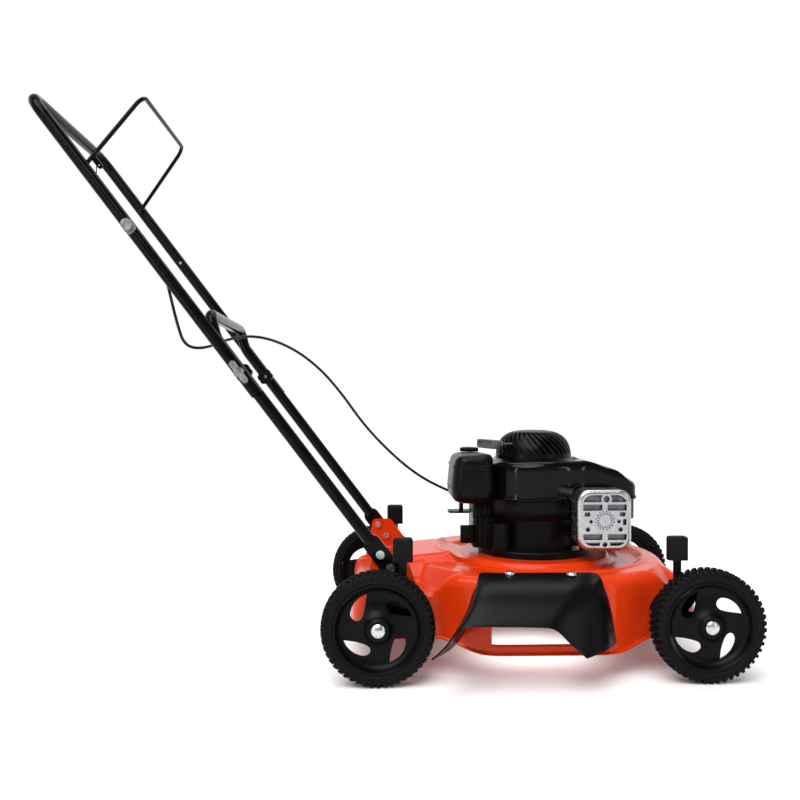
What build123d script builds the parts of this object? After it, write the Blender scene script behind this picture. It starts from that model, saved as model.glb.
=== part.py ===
from build123d import *
import os
from math import cos, pi, radians, sin, tan

# Walk-behind rotary push mower. Millimetres, +X forward, +Y to the mower's left, +Z up, ground at z = 0.

# Whole machine
WHEELBASE = 590.0
REAR_AXLE_X = -27.5
FRONT_AXLE_X = REAR_AXLE_X + WHEELBASE
MID_Y = 22.0                 # the mower's middle plane: the chute sticks out on the right
WHEEL_R = 101.5
WHEEL_Y = 263.0              # wheel mid-plane from the mower's middle plane
TYRE_WIDTH = 44.0
RIM_R = 80.0
BOLT_R = 6.4                 # axle bolt
RUNNING_GAP = 0.1
CLEAR_GAP = 0.3

# Deck
ENGINE_X = 298.0             # crankshaft axis
DECK_R = 262.0
DECK_SIDE_Y = 205.0
DECK_REAR_X = -75.0
DECK_FRONT_X = 578.0
SKIRT_Z = 50.0
DECK_LOW_TOP = 150.0
DECK_TOP = 185.0
PAD_TOP = 190.0
DECK_PAD_R = 150.0
SHEET = 2.5
DISCHARGE_OPENING = (274.0, 113.0)   # centre of the opening in the right side

# Engine mounting
STUD_CIRCLE_R = 101.6
STUD_R = 4.0
STUD_HOLE_R = 4.3
SHAFT_R = 12.5

# Handle
PIVOT_X = -276.5
PIVOT_Z = 554.0
HANDLE_SLOPE = 52.9
TUBE_R = 11.1
TUBE_BORE = 9.6
OUTER_TUBE_Y = 213.0
LOWER_TUBE_Y = 190.0
TOP_BAR = 628.0              # distances along the handle from the fold pivot
SPLICE = 326.0
BAIL_PIVOT = 471.0
CABLE_R = 2.75

# Height adjusters
LEVER_Y = 234.0
LEVER_THICK = 4.0
PIVOT_STEP = 34.0            # lever pivot from the axle, towards the mower's middle
STEM_STEP = 47.0
PIVOT_HEIGHT = 105.0
LEVER_PIN_R = 5.0

SIDES = {"right": -1, "left": 1}
ENDS = {"rear": (REAR_AXLE_X, 1), "front": (FRONT_AXLE_X, -1)}


def spot(x, y, z):
    """A point whose y is counted from the mower's middle plane."""
    return (x, MID_Y + y, z)


def level(z):
    """Horizontal sketch plane whose local y is counted from the middle plane."""
    return Plane(origin=(0, MID_Y, z))


def upright(y):
    """Fore-aft sketch plane at y from the middle plane; its local axes are x and z."""
    return Plane.XZ.offset(-(MID_Y + y))


def on_handle(along, out, y):
    """A point by its distance along the handle and its distance in front of it."""
    x = PIVOT_X - along * cos(radians(HANDLE_SLOPE)) + out * sin(radians(HANDLE_SLOPE))
    z = PIVOT_Z + along * sin(radians(HANDLE_SLOPE)) + out * cos(radians(HANDLE_SLOPE))
    return spot(x, y, z)


def handle_plane(y):
    """Fore-aft plane whose local axes run along the handle and out in front of it."""
    slope = radians(HANDLE_SLOPE)
    return Plane(origin=on_handle(0, 0, y), x_dir=(-cos(slope), 0, sin(slope)), z_dir=(0, 1, 0))


def write(part, name):
    part.label = name
    export_step(part, f"parts/{name}.step")


def tube_section(path, radius, bore=0.0):
    """Round section, hollow if it has a bore, at the start of a path."""
    with BuildSketch(Plane(origin=path @ 0, z_dir=path % 0)) as section:
        Circle(radius)
        if bore:
            Circle(bore, mode=Mode.SUBTRACT)
    return section.sketch


def bend_radii(points):
    """The largest even bends that a hanging cable's route allows, one for each inner point."""
    vectors = [Vector(*b) - Vector(*a) for a, b in zip(points, points[1:])]
    radii = []
    for before, after in zip(vectors, vectors[1:]):
        half_turn = radians(before.get_angle(after) / 2)
        radii.append(0.45 * min(before.length, after.length) / tan(half_turn))
    return radii


def deck_drum(inset):
    """Round part of the deck, over the blade."""
    bottom = SKIRT_Z if inset == 0 else 0.0
    with BuildPart() as drum:
        with BuildSketch(level(bottom)):
            with Locations((ENGINE_X, 0)):
                Circle(DECK_R - inset)
        extrude(amount=DECK_TOP - inset - bottom)
        fillet(drum.edges().group_by(Axis.Z)[-1], 24 - inset)
    return drum.part


def deck_hump(inset):
    """Raised tunnel behind the engine."""
    with BuildPart() as hump:
        with BuildSketch(upright(0)):
            with BuildLine():
                Polyline(
                    (-58 + inset, 120),
                    (-40 + inset, 150),
                    (20, 196 - inset),
                    (110, 202 - inset),
                    (190, 186 - inset),
                    (190, 120),
                    close=True,
                )
            make_face()
        extrude(amount=118 - inset, both=True)
    return hump.part


def deck_nose(inset):
    """Raised front of the deck, with a sloping end."""
    with BuildPart() as nose:
        with BuildSketch(upright(0)):
            with BuildLine():
                Polyline(
                    (430, 120),
                    (430, 170),
                    (462, 181 - inset),
                    (522, 181 - inset),
                    (575 - inset, 144),
                    (575 - inset, 120),
                    close=True,
                )
            make_face()
        extrude(amount=140 - inset, both=True)
    return nose.part


def deck_form(inset):
    """The deck's outside shape, or with an inset the hollow under it."""
    bottom = SKIRT_Z if inset == 0 else 0.0
    length = DECK_FRONT_X - DECK_REAR_X - 2 * inset
    middle = (DECK_FRONT_X + DECK_REAR_X) / 2
    drum = deck_drum(inset)
    hump = deck_hump(inset)
    nose = deck_nose(inset)
    with BuildPart() as form:
        with BuildSketch(level(bottom)):
            with Locations((middle, 0)):
                RectangleRounded(length, 2 * (DECK_SIDE_Y - inset), 60 - inset)
        extrude(amount=DECK_LOW_TOP - inset - bottom)
        fillet(form.edges().group_by(Axis.Z)[-1], 22 - inset)
        add(drum)
        add(hump)
        add(nose)
    return form.part


os.makedirs("parts", exist_ok=True)

# ---------------------------------------------------------------- deck
deck_outside = deck_form(0)
deck_inside = deck_form(SHEET)

with BuildPart() as deck:
    add(deck_outside)
    with BuildSketch(level(DECK_TOP - 1)):
        with Locations((ENGINE_X, 0)):
            Circle(DECK_PAD_R)
    extrude(amount=PAD_TOP - DECK_TOP + 1)
    add(deck_inside, mode=Mode.SUBTRACT)
    # the skirt is lower round the blade than beside the wheels
    with BuildSketch(upright(0)):
        with Locations(((ENGINE_X - 190 + DECK_REAR_X) / 2 - 20, 55)):
            Rectangle(ENGINE_X - 190 - DECK_REAR_X + 40, 30)
        with Locations(((ENGINE_X + 180 + DECK_FRONT_X) / 2 + 20, 55)):
            Rectangle(DECK_FRONT_X - ENGINE_X - 180 + 40, 30)
    extrude(amount=400, both=True, mode=Mode.SUBTRACT)
    # discharge opening in the right side
    with BuildSketch(upright(-200)):
        with Locations(DISCHARGE_OPENING):
            RectangleRounded(200, 92, 12)
    extrude(amount=100, mode=Mode.SUBTRACT)
    # crankshaft hole and engine bolt holes
    with BuildSketch(level(PAD_TOP)):
        with Locations((ENGINE_X, 0)):
            Circle(55)
            with PolarLocations(STUD_CIRCLE_R, 4, start_angle=45):
                Circle(STUD_HOLE_R)
    extrude(amount=-30, mode=Mode.SUBTRACT)
write(deck.part, "deck")

BRACKET_BOLTS = (-421.0, -452.0)     # along the handle
BRACKET_Y = 185.5

with BuildPart() as handle_brackets:
    for side in SIDES.values():
        with BuildSketch(upright(side * BRACKET_Y)):
            with BuildLine():
                Polyline((-50, DECK_LOW_TOP), (48, DECK_LOW_TOP), (32, 196), (6, 231), (-34, 231), close=True)
            make_face()
            fillet(vertices().group_by(Axis.Y)[-1], 10)
        extrude(amount=1.5, both=True)
        with BuildSketch(level(DECK_LOW_TOP)):
            with Locations((-1, side * 168)):
                Rectangle(98, 38)
        extrude(amount=3)
        for along in BRACKET_BOLTS:
            with BuildSketch(handle_plane(side * BRACKET_Y)):
                with Locations((along, 0)):
                    Circle(4.2)
            extrude(amount=5, both=True, mode=Mode.SUBTRACT)
write(handle_brackets.part, "handle_brackets")

with BuildPart() as handle_bolts:
    for side in SIDES.values():
        for along in BRACKET_BOLTS:
            with BuildSketch(handle_plane(side * 188.5)):
                with Locations((along, 0)):
                    Circle(4.1)
            extrude(amount=6.5, both=True)
            with BuildSketch(handle_plane(side * 195.5)):
                with Locations((along, 0)):
                    Circle(8)
            extrude(amount=2.5, both=True)
            with BuildSketch(handle_plane(side * 181)):
                with Locations((along, 0)):
                    RegularPolygon(7.5, 6)
            extrude(amount=3, both=True)
write(handle_bolts.part, "handle_bolts")

# ---------------------------------------------------------------- discharge chute
CHUTE_Y = (-262.0, -330.0)
CHUTE_AT_DECK = ((128, 84), (150, 188), (366, 188), (392, 84))
CHUTE_AT_LIP = ((72, 70), (119, 119), (271, 117), (325, 69))
CHUTE_WALL = 3.0


def chute_face(step, inset):
    """Closed outline across the hood, step 0 at the deck and 1 at the lip."""
    corners = []
    insets = ((inset, -40), (inset, -inset), (-inset, -inset), (-inset, -40)) if inset else ((0, 0),) * 4
    for (x0, z0), (x1, z1), (dx, dz) in zip(CHUTE_AT_DECK, CHUTE_AT_LIP, insets):
        corners.append((x0 + (x1 - x0) * step + dx, z0 + (z1 - z0) * step + dz))
    with BuildSketch(upright(CHUTE_Y[0] + (CHUTE_Y[1] - CHUTE_Y[0]) * step)) as face:
        with BuildLine():
            Polyline(*corners, close=True)
        make_face()
    return face.sketch


with BuildPart() as chute_hollow:
    loft([chute_face(-0.5, CHUTE_WALL), chute_face(1.2, CHUTE_WALL)])

CHUTE_BOLTS = ((212, -236), (322, -246))

with BuildPart() as discharge_chute:
    loft([chute_face(-0.3, 0), chute_face(1, 0)])
    add(chute_hollow.part, mode=Mode.SUBTRACT)
    with BuildSketch(level(0)):
        with Locations((ENGINE_X, 0)):
            Circle(DECK_R + 0.2)
    extrude(amount=300, mode=Mode.SUBTRACT)
    for x, y in CHUTE_BOLTS:
        with BuildSketch(level(DECK_TOP)):
            with Locations((x, y - 6)):
                RectangleRounded(30, 46, 6)
        extrude(amount=CHUTE_WALL)
        with BuildSketch(level(DECK_TOP)):
            with Locations((x, y + 6)):
                Circle(4.2)
        extrude(amount=CHUTE_WALL, mode=Mode.SUBTRACT)
write(discharge_chute.part, "discharge_chute")

with BuildPart() as chute_bolts:
    for x, y in CHUTE_BOLTS:
        with BuildSketch(level(DECK_TOP + CHUTE_WALL)):
            with Locations((x, y + 6)):
                Circle(9)
        extrude(amount=5)
    fillet(chute_bolts.edges().group_by(Axis.Z)[-1], 4)
write(chute_bolts.part, "chute_bolts")

# ---------------------------------------------------------------- wheels and height adjusters
LUGS = 40
LUG_HEIGHT = 6.0
LUG_LENGTH = 8.5
HUB_FACE_Y = WHEEL_Y + TYRE_WIDTH / 2
DOME_R = 20.0                # domed head of the axle bolt


def wheel_section(axle_x, side, y):
    """Plane through the axle; local x points outwards from the mower, local y is the radius."""
    return Plane(origin=spot(axle_x, side * y, WHEEL_R), x_dir=(0, side, 0), z_dir=(1, 0, 0))


def make_tyre(axle_x, side):
    axle = Axis(spot(axle_x, 0, WHEEL_R), (0, 1, 0))
    with BuildPart() as tyre:
        with BuildSketch(wheel_section(axle_x, side, WHEEL_Y)):
            with Locations((0, (RIM_R + WHEEL_R - 4) / 2)):
                RectangleRounded(TYRE_WIDTH, WHEEL_R - 4 - RIM_R, 6)
        revolve(axis=axle)
        # two staggered rows of flat-topped lugs, one of them flat on the ground
        for row, first in ((11.5, -90), (-11.5, -90 + 180 / LUGS)):
            with BuildSketch(upright(side * (WHEEL_Y + row))):
                with Locations((axle_x, WHEEL_R)):
                    with PolarLocations(WHEEL_R - LUG_HEIGHT / 2, LUGS, start_angle=first):
                        Rectangle(LUG_HEIGHT, LUG_LENGTH)
            extrude(amount=9.5, both=True)
    return tyre.part


def leaf_opening(first, side):
    """One leaf-shaped opening of a wheel, its pointed end at the given angle."""
    leaf = ((64, 0), (63, 16), (59, 34), (51, 50), (41, 53), (35, 42), (37, 27), (47, 11), (64, 0))
    points = []
    for radius, angle in leaf:
        turn = radians(first + angle)
        points.append((-side * radius * cos(turn), radius * sin(turn)))
    with BuildSketch() as opening:
        with BuildLine():
            Spline(*points)
        make_face()
    return opening.sketch


def make_rim(axle_x, side):
    axle = Axis(spot(axle_x, 0, WHEEL_R), (0, 1, 0))
    openings = [leaf_opening(first, side) for first in (18, 108, 198, 288)]
    with BuildPart() as rim:
        with BuildSketch(wheel_section(axle_x, side, WHEEL_Y)):
            with BuildLine():
                # outer face, from the tyre's edge across the dish to the hub
                Polyline((18, RIM_R), (19.5, RIM_R), (19.5, 76), (16, 73.5))
                Spline((16, 73.5), (7, 66), (4.5, 52), (8, 36), (14, 25), (20, 20))
                Polyline((20, 20), (22, 17), (22, 0), (-22, 0), (-22, 16), (-6, 20))
                Spline((-6, 20), (-1, 27), (1.5, 38), (0, 52), (1, 66))
                Polyline((1, 66), (0, 73), (-17, 75), (-18, RIM_R), (18, RIM_R))
            make_face()
        revolve(axis=axle)
        with BuildSketch(upright(side * WHEEL_Y)):
            with Locations((axle_x, WHEEL_R)):
                for opening in openings:
                    add(opening)
        extrude(amount=18, both=True, mode=Mode.SUBTRACT)
        with BuildSketch(upright(side * WHEEL_Y)):
            with Locations((axle_x, WHEEL_R)):
                Circle(BOLT_R + RUNNING_GAP)
        extrude(amount=40, both=True, mode=Mode.SUBTRACT)
    return rim.part


def make_axle_bolt(axle_x, side):
    with BuildPart() as bolt:
        axle = Axis(spot(axle_x, 0, WHEEL_R), (0, 1, 0))
        with BuildSketch(wheel_section(axle_x, side, 0)):
            with BuildLine():
                Polyline(
                    (LEVER_Y - LEVER_THICK / 2 - 3, 0),
                    (LEVER_Y - LEVER_THICK / 2 - 3, 9),
                    (LEVER_Y - LEVER_THICK / 2, 9),
                    (LEVER_Y - LEVER_THICK / 2, BOLT_R),
                    (LEVER_Y + LEVER_THICK / 2, BOLT_R),
                    (LEVER_Y + LEVER_THICK / 2, 10),
                    (WHEEL_Y - TYRE_WIDTH / 2 - CLEAR_GAP, 10),
                    (WHEEL_Y - TYRE_WIDTH / 2 - CLEAR_GAP, BOLT_R),
                    (HUB_FACE_Y + CLEAR_GAP, BOLT_R),
                    (HUB_FACE_Y + CLEAR_GAP, 12),
                    (HUB_FACE_Y + 2, 12),
                )
                RadiusArc((HUB_FACE_Y + 2, 12), (HUB_FACE_Y + 6, 0), DOME_R)
                Line((HUB_FACE_Y + 6, 0), (LEVER_Y - LEVER_THICK / 2 - 3, 0))
            make_face()
        revolve(axis=axle)
    return bolt.part


def make_lever(axle_x, side, inward):
    pivot_x = axle_x + inward * PIVOT_STEP
    stem_x = axle_x + inward * STEM_STEP
    with BuildPart() as lever:
        with BuildSketch(upright(side * LEVER_Y)):
            with BuildLine(mode=Mode.PRIVATE) as axle_end:
                CenterArc((axle_x, WHEEL_R), 14, 0, 360)
            with BuildLine(mode=Mode.PRIVATE) as pivot_end:
                CenterArc((pivot_x, PIVOT_HEIGHT), 15, 0, 360)
            make_hull(axle_end.edges() + pivot_end.edges())
            with Locations((stem_x - inward * 2, 165)):
                Rectangle(14, 116)
            with Locations((axle_x, WHEEL_R)):
                Circle(BOLT_R, mode=Mode.SUBTRACT)
            with Locations((pivot_x, PIVOT_HEIGHT)):
                Circle(LEVER_PIN_R + RUNNING_GAP / 2, mode=Mode.SUBTRACT)
        extrude(amount=LEVER_THICK / 2, both=True)
        # spring-loaded tooth that drops into the quadrant
        with BuildSketch(upright(side * (LEVER_Y - 4.5))):
            with Locations((stem_x - inward * 2, PIVOT_HEIGHT + 67)):
                Rectangle(6, 6)
        extrude(amount=2.6, both=True)
    return lever.part


def make_lever_grip(axle_x, side, inward):
    stem_x = axle_x + inward * (STEM_STEP - 2)
    with BuildPart() as grip:
        with BuildSketch(level(213)):
            with Locations((stem_x, side * LEVER_Y)):
                RectangleRounded(36, 22, 6)
        extrude(amount=43)
        fillet(grip.edges().group_by(Axis.Z)[-1], 5)
        with BuildSketch(level(213)):
            with Locations((stem_x, side * LEVER_Y)):
                Rectangle(14, LEVER_THICK)
        extrude(amount=10, mode=Mode.SUBTRACT)
    return grip.part


QUADRANT_Y = 226.5
QUADRANT_R = 62.0
QUADRANT_THICK = 3.0
NOTCHES = 5


def quadrant_plate(pivot_x, inward):
    """Notched sector behind a height lever, centred on the lever's pivot."""
    with BuildSketch() as plate:
        with BuildLine():
            sector = CenterArc((pivot_x, PIVOT_HEIGHT), QUADRANT_R, 90 - inward * 17.5 - 57.5, 115)
            Line((pivot_x, PIVOT_HEIGHT), sector @ 0)
            Line((pivot_x, PIVOT_HEIGHT), sector @ 1)
        make_face()
        with Locations((pivot_x, PIVOT_HEIGHT)):
            Circle(14)
        for notch in range(NOTCHES):
            angle = radians(90 - inward * (10 + 9 * (notch - 2)))
            with Locations((pivot_x + QUADRANT_R * cos(angle), PIVOT_HEIGHT + QUADRANT_R * sin(angle))):
                Circle(3.2, mode=Mode.SUBTRACT)
    return plate.sketch


with BuildPart() as height_quadrants:
    for axle_x, inward in ENDS.values():
        pivot_x = axle_x + inward * PIVOT_STEP
        for side in SIDES.values():
            plate = quadrant_plate(pivot_x, inward)
            with BuildSketch(upright(side * QUADRANT_Y)):
                add(plate)
            extrude(amount=QUADRANT_THICK / 2, both=True)
            # foot on the deck's side wall, and the pivot post
            with BuildSketch(upright(side * DECK_SIDE_Y)):
                with Locations((pivot_x, PIVOT_HEIGHT)):
                    RectangleRounded(34, 24, 4)
            extrude(amount=-side * (QUADRANT_Y - QUADRANT_THICK / 2 - DECK_SIDE_Y))
            with BuildSketch(upright(side * QUADRANT_Y)):
                with Locations((pivot_x, PIVOT_HEIGHT)):
                    Circle(LEVER_PIN_R)
            extrude(amount=-side * (LEVER_Y + 4.5 - QUADRANT_Y))
write(height_quadrants.part, "height_quadrants")

for end_name, (axle_x, inward) in ENDS.items():
    for side_name, side in SIDES.items():
        corner = f"{end_name}_{side_name}"
        write(make_tyre(axle_x, side), f"tyre_{corner}")
        write(make_rim(axle_x, side), f"rim_{corner}")
        write(make_axle_bolt(axle_x, side), f"axle_bolt_{corner}")
        write(make_lever(axle_x, side, inward), f"height_lever_{corner}")
        write(make_lever_grip(axle_x, side, inward), f"lever_grip_{corner}")

# ---------------------------------------------------------------- handle
LEG_END = -475.0
FLAT_TOP = -380.0
CROSSBAR = 120.0
CROSSBAR_OUT = 17.0
FOLD_BOLT_R = 4.0

with BuildPart() as lower_handle:
    with BuildLine() as lower_path:
        FilletPolyline(
            on_handle(FLAT_TOP - 12, 0, -LOWER_TUBE_Y),
            on_handle(78, 0, -LOWER_TUBE_Y),
            on_handle(CROSSBAR, CROSSBAR_OUT, -LOWER_TUBE_Y),
            on_handle(CROSSBAR, CROSSBAR_OUT, LOWER_TUBE_Y),
            on_handle(78, 0, LOWER_TUBE_Y),
            on_handle(FLAT_TOP - 12, 0, LOWER_TUBE_Y),
            radius=[45, 22, 22, 45],
        )
    sweep(sections=tube_section(lower_path.line, TUBE_R, TUBE_BORE), path=lower_path.line)
    for side in SIDES.values():
        with BuildSketch(handle_plane(side * LOWER_TUBE_Y)):
            with Locations(((LEG_END + FLAT_TOP) / 2, 0)):
                SlotOverall(FLAT_TOP - LEG_END, 34)
        extrude(amount=3, both=True)
        for along, radius in ((BRACKET_BOLTS[0], 4.2), (BRACKET_BOLTS[1], 4.2), (0.0, FOLD_BOLT_R + RUNNING_GAP)):
            with BuildSketch(handle_plane(side * LOWER_TUBE_Y)):
                with Locations((along, 0)):
                    Circle(radius)
            extrude(amount=14, both=True, mode=Mode.SUBTRACT)
write(lower_handle.part, "lower_handle")

MIDDLE_START = -51.0
SOCKET_START = 300.0
SOCKET_END = 352.0

with BuildPart() as middle_tubes:
    for side in SIDES.values():
        tube_plane = Plane(origin=on_handle(0, 0, side * OUTER_TUBE_Y), z_dir=handle_plane(0).x_dir)
        with BuildSketch(tube_plane.offset(MIDDLE_START)):
            Circle(TUBE_R)
            Circle(TUBE_BORE, mode=Mode.SUBTRACT)
        extrude(amount=SOCKET_START - MIDDLE_START)
        # reduced end that the upper handle slides over
        with BuildSketch(tube_plane.offset(SOCKET_START - 4)):
            Circle(TUBE_BORE)
            Circle(TUBE_BORE - 1.5, mode=Mode.SUBTRACT)
        extrude(amount=SOCKET_END - SOCKET_START + 4)
        for along, radius in ((0.0, FOLD_BOLT_R + RUNNING_GAP), (SPLICE, 3.6)):
            with BuildSketch(handle_plane(side * OUTER_TUBE_Y)):
                with Locations((along, 0)):
                    Circle(radius)
            extrude(amount=14, both=True, mode=Mode.SUBTRACT)
write(middle_tubes.part, "middle_tubes")

BAIL_PIN_Y = 207.0

with BuildPart() as upper_handle:
    with BuildLine() as upper_path:
        FilletPolyline(
            on_handle(SOCKET_START, 0, -OUTER_TUBE_Y),
            on_handle(TOP_BAR, 0, -OUTER_TUBE_Y),
            on_handle(TOP_BAR, 0, OUTER_TUBE_Y),
            on_handle(SOCKET_START, 0, OUTER_TUBE_Y),
            radius=48,
        )
    sweep(sections=tube_section(upper_path.line, TUBE_R, TUBE_BORE), path=upper_path.line)
    for side in SIDES.values():
        with BuildSketch(handle_plane(side * OUTER_TUBE_Y)):
            with Locations((SPLICE, 0)):
                Circle(3.6)
        extrude(amount=14, both=True, mode=Mode.SUBTRACT)
        # the bail's pin enters through the inner wall only
        with BuildSketch(handle_plane(side * (OUTER_TUBE_Y - TUBE_R))):
            with Locations((BAIL_PIVOT, 0)):
                Circle(4 + RUNNING_GAP)
        extrude(amount=6, both=True, mode=Mode.SUBTRACT)
write(upper_handle.part, "upper_handle")

with BuildPart() as splice_bolts:
    for side in SIDES.values():
        with BuildSketch(handle_plane(side * 216)):
            with Locations((SPLICE, 0)):
                Circle(3.5)
        extrude(amount=13.5, both=True)
        with BuildSketch(handle_plane(side * 232)):
            with Locations((SPLICE, 0)):
                Circle(9)
        extrude(amount=2.5, both=True)
        with BuildSketch(handle_plane(side * 227)):
            with Locations((SPLICE, 0)):
                SlotOverall(30, 20)
        extrude(amount=2.6, both=True)
write(splice_bolts.part, "splice_bolts")

with BuildPart() as fold_bolts:
    # each bolt carries a wing nut on its outer end
    for side in SIDES.values():
        with BuildSketch(handle_plane(side * 203)):
            Circle(FOLD_BOLT_R)
        extrude(amount=32, both=True)
        with BuildSketch(handle_plane(side * 229.5)):
            Circle(9)
        extrude(amount=5, both=True)
        with BuildSketch(handle_plane(side * 232)):
            with Locations((12, 0), (-12, 0)):
                SlotOverall(24, 12)
        extrude(amount=2, both=True)
write(fold_bolts.part, "fold_bolts")

with BuildPart() as fold_knobs:
    for side in SIDES.values():
        with BuildSketch(handle_plane(side * 171)):
            with PolarLocations(9, 6):
                Circle(8)
            Circle(12)
            Circle(FOLD_BOLT_R, mode=Mode.SUBTRACT)
        extrude(amount=7.5, both=True)
write(fold_knobs.part, "fold_knobs")

BAIL_R = 4.0
BAIL_LEG_ALONG = 48.0
BAIL_LEG_OUT = 162.7

with BuildPart() as bail:
    with BuildLine() as bail_path:
        FilletPolyline(
            on_handle(BAIL_PIVOT, 0, -BAIL_PIN_Y),
            on_handle(BAIL_PIVOT, 0, -193),
            on_handle(BAIL_PIVOT + BAIL_LEG_ALONG, BAIL_LEG_OUT, -172),
            on_handle(BAIL_PIVOT + BAIL_LEG_ALONG, BAIL_LEG_OUT, 172),
            on_handle(BAIL_PIVOT, 0, 193),
            on_handle(BAIL_PIVOT, 0, BAIL_PIN_Y),
            radius=[5, 26, 26, 5],
        )
    sweep(sections=tube_section(bail_path.line, BAIL_R), path=bail_path.line)
    # tab that pulls the stop cable's wire
    with BuildSketch(handle_plane(-191)):
        with Locations((BAIL_PIVOT - 6, 22)):
            SlotOverall(30, 10)
        with Locations((BAIL_PIVOT - 14, 22)):
            Circle(1.5, mode=Mode.SUBTRACT)
    extrude(amount=1.5, both=True)
write(bail.part, "bail")

# ---------------------------------------------------------------- stop cable
CASING_END = (425, -6, -200.3)       # along the handle, in front of it, sideways
CABLE_STOP = (150, 62, 298)          # where the casing ends at the engine
CLIPPED_ROUTE = (
    on_handle(*CASING_END),
    spot(-411, -200.3, 722),
    spot(-404, -198.3, 690),
)
FREE_ROUTE = (
    spot(-404, -198.3, 690),
    spot(-393.5, -195.3, 642),
    spot(-381, -185, 601),
    spot(-350, -150, 600),
    spot(-320, -90, 622),
    spot(-270, -30, 634),
    spot(-205, 5, 613),
    spot(-147, 30, 570),
    spot(-100, 40, 515),
    spot(-58, 46, 455),
    spot(-10, 50, 402),
    spot(45, 54, 353),
    spot(98, 58, 320),
    spot(*CABLE_STOP),
)

with BuildPart() as cable_upper:
    # the clipped stretch is straight along the tube, so only its lower end bends
    with BuildLine() as upper_cable_path:
        FilletPolyline(*CLIPPED_ROUTE, radius=40)
    sweep(sections=tube_section(upper_cable_path.line, CABLE_R), path=upper_cable_path.line)
    # bare wire from the casing to the bail's tab
    with BuildLine() as wire_path:
        Line(on_handle(*CASING_END), on_handle(BAIL_PIVOT - 14, 17, -194.5))
    sweep(sections=tube_section(wire_path.line, 0.9), path=wire_path.line)
write(cable_upper.part, "cable_upper")

free_radii = bend_radii(FREE_ROUTE)
print("free cable bend radii:", [round(radius, 1) for radius in free_radii])

with BuildPart() as cable_free:
    with BuildLine() as free_cable_path:
        FilletPolyline(*FREE_ROUTE, radius=free_radii)
    sweep(sections=tube_section(free_cable_path.line, CABLE_R), path=free_cable_path.line)
write(cable_free.part, "cable_free")
free_length = sum(edge.length for edge in free_cable_path.edges())
section_area = pi * CABLE_R**2
print("free cable length and volume check:", round(free_length, 1), cable_free.part.volume, section_area * free_length)

# ---------------------------------------------------------------- engine
FLANGE_TOP = 204.0
FLANGE_R = 114.0
CASE_R = 88.0
CASE_TOP = 264.0
CRANK_Z = 234.0              # height of the cylinder's axis
BRAKE_PIN = (192.0, 278.0)
BRAKE_PIN_R = 4.0
OIL_FILLER = (220.0, -74.0)
HOUSING_BASE = 266.0
HOUSING_TOP = 386.0
HOUSING_R = 112.0
HOUSING_WALL = 3.0
DOME_TOP = 440.0
DOME_BASE_R = 80.0
DOME_TOP_R = 58.0

with BuildPart() as crankcase:
    with BuildSketch(level(PAD_TOP)):
        with Locations((ENGINE_X, 0)):
            Circle(FLANGE_R)
    extrude(amount=FLANGE_TOP - PAD_TOP)
    fillet(crankcase.edges().group_by(Axis.Z)[-1], 4)
    with BuildSketch(level(FLANGE_TOP)):
        with Locations((ENGINE_X, 0)):
            Circle(CASE_R)
        with Locations((ENGINE_X + 60, 0)):
            RectangleRounded(76, 110, 10)
        with Locations((ENGINE_X - 95, 0)):
            RectangleRounded(70, 100, 16)
    extrude(amount=CASE_TOP - FLANGE_TOP)
    # bracket at the rear for the stop cable and its lever
    with BuildSketch(level(262)):
        with Locations((ENGINE_X - 116, 62)):
            RectangleRounded(112, 40, 8)
    extrude(amount=4)
    with BuildSketch(Plane(origin=spot(*CABLE_STOP), x_dir=(0, 1, 0), z_dir=(1, 0, 0))):
        with Locations((0, -10)):
            RectangleRounded(16, 46, 4)
    extrude(amount=8)
    # ear that carries the brake lever's pin
    with BuildSketch(upright(72)):
        with Locations((BRAKE_PIN[0], BRAKE_PIN[1] - 3)):
            Rectangle(14, 22)
    extrude(amount=2, both=True)
    with BuildSketch(upright(72)):
        with Locations(BRAKE_PIN):
            Circle(BRAKE_PIN_R)
    extrude(amount=14)
    # oil filler neck
    with BuildSketch(level(FLANGE_TOP - 2)):
        with Locations(OIL_FILLER):
            Circle(17)
            Circle(11, mode=Mode.SUBTRACT)
    extrude(amount=44)
    # crank bearing and the flange's bolt holes
    with BuildSketch(level(PAD_TOP)):
        with Locations((ENGINE_X, 0)):
            Circle(SHAFT_R + RUNNING_GAP / 2)
    extrude(amount=100, mode=Mode.SUBTRACT)
    with BuildSketch(level(PAD_TOP)):
        with Locations((ENGINE_X, 0)):
            with PolarLocations(STUD_CIRCLE_R, 4, start_angle=45):
                Circle(STUD_HOLE_R)
    extrude(amount=20, mode=Mode.SUBTRACT)
    with BuildSketch(level(FLANGE_TOP)):
        with Locations((ENGINE_X, 0)):
            with PolarLocations(STUD_CIRCLE_R, 4, start_angle=45):
                Circle(10)
    extrude(amount=60, mode=Mode.SUBTRACT)
    # hollow for the crank's throw
    with BuildSketch(level(212)):
        with Locations((ENGINE_X, 0)):
            Circle(48)
    extrude(amount=40, mode=Mode.SUBTRACT)
write(crankcase.part, "crankcase")

with BuildPart() as engine_bolts:
    with BuildSketch(level(PAD_TOP - SHEET - 8)):
        with Locations((ENGINE_X, 0)):
            with PolarLocations(STUD_CIRCLE_R, 4, start_angle=45):
                Circle(STUD_R)
    extrude(amount=FLANGE_TOP - PAD_TOP + SHEET + 9)
    with BuildSketch(level(FLANGE_TOP)):
        with Locations((ENGINE_X, 0)):
            with PolarLocations(STUD_CIRCLE_R, 4, start_angle=45):
                RegularPolygon(8, 6)
    extrude(amount=7)
write(engine_bolts.part, "engine_bolts")

with BuildPart() as oil_cap:
    with BuildSketch(level(FLANGE_TOP + 42)):
        with Locations(OIL_FILLER):
            RegularPolygon(18, 10)
    extrude(amount=12)
    with BuildSketch(level(FLANGE_TOP + 8)):
        with Locations(OIL_FILLER):
            Circle(10.6)
    extrude(amount=34)
write(oil_cap.part, "oil_cap")

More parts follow.
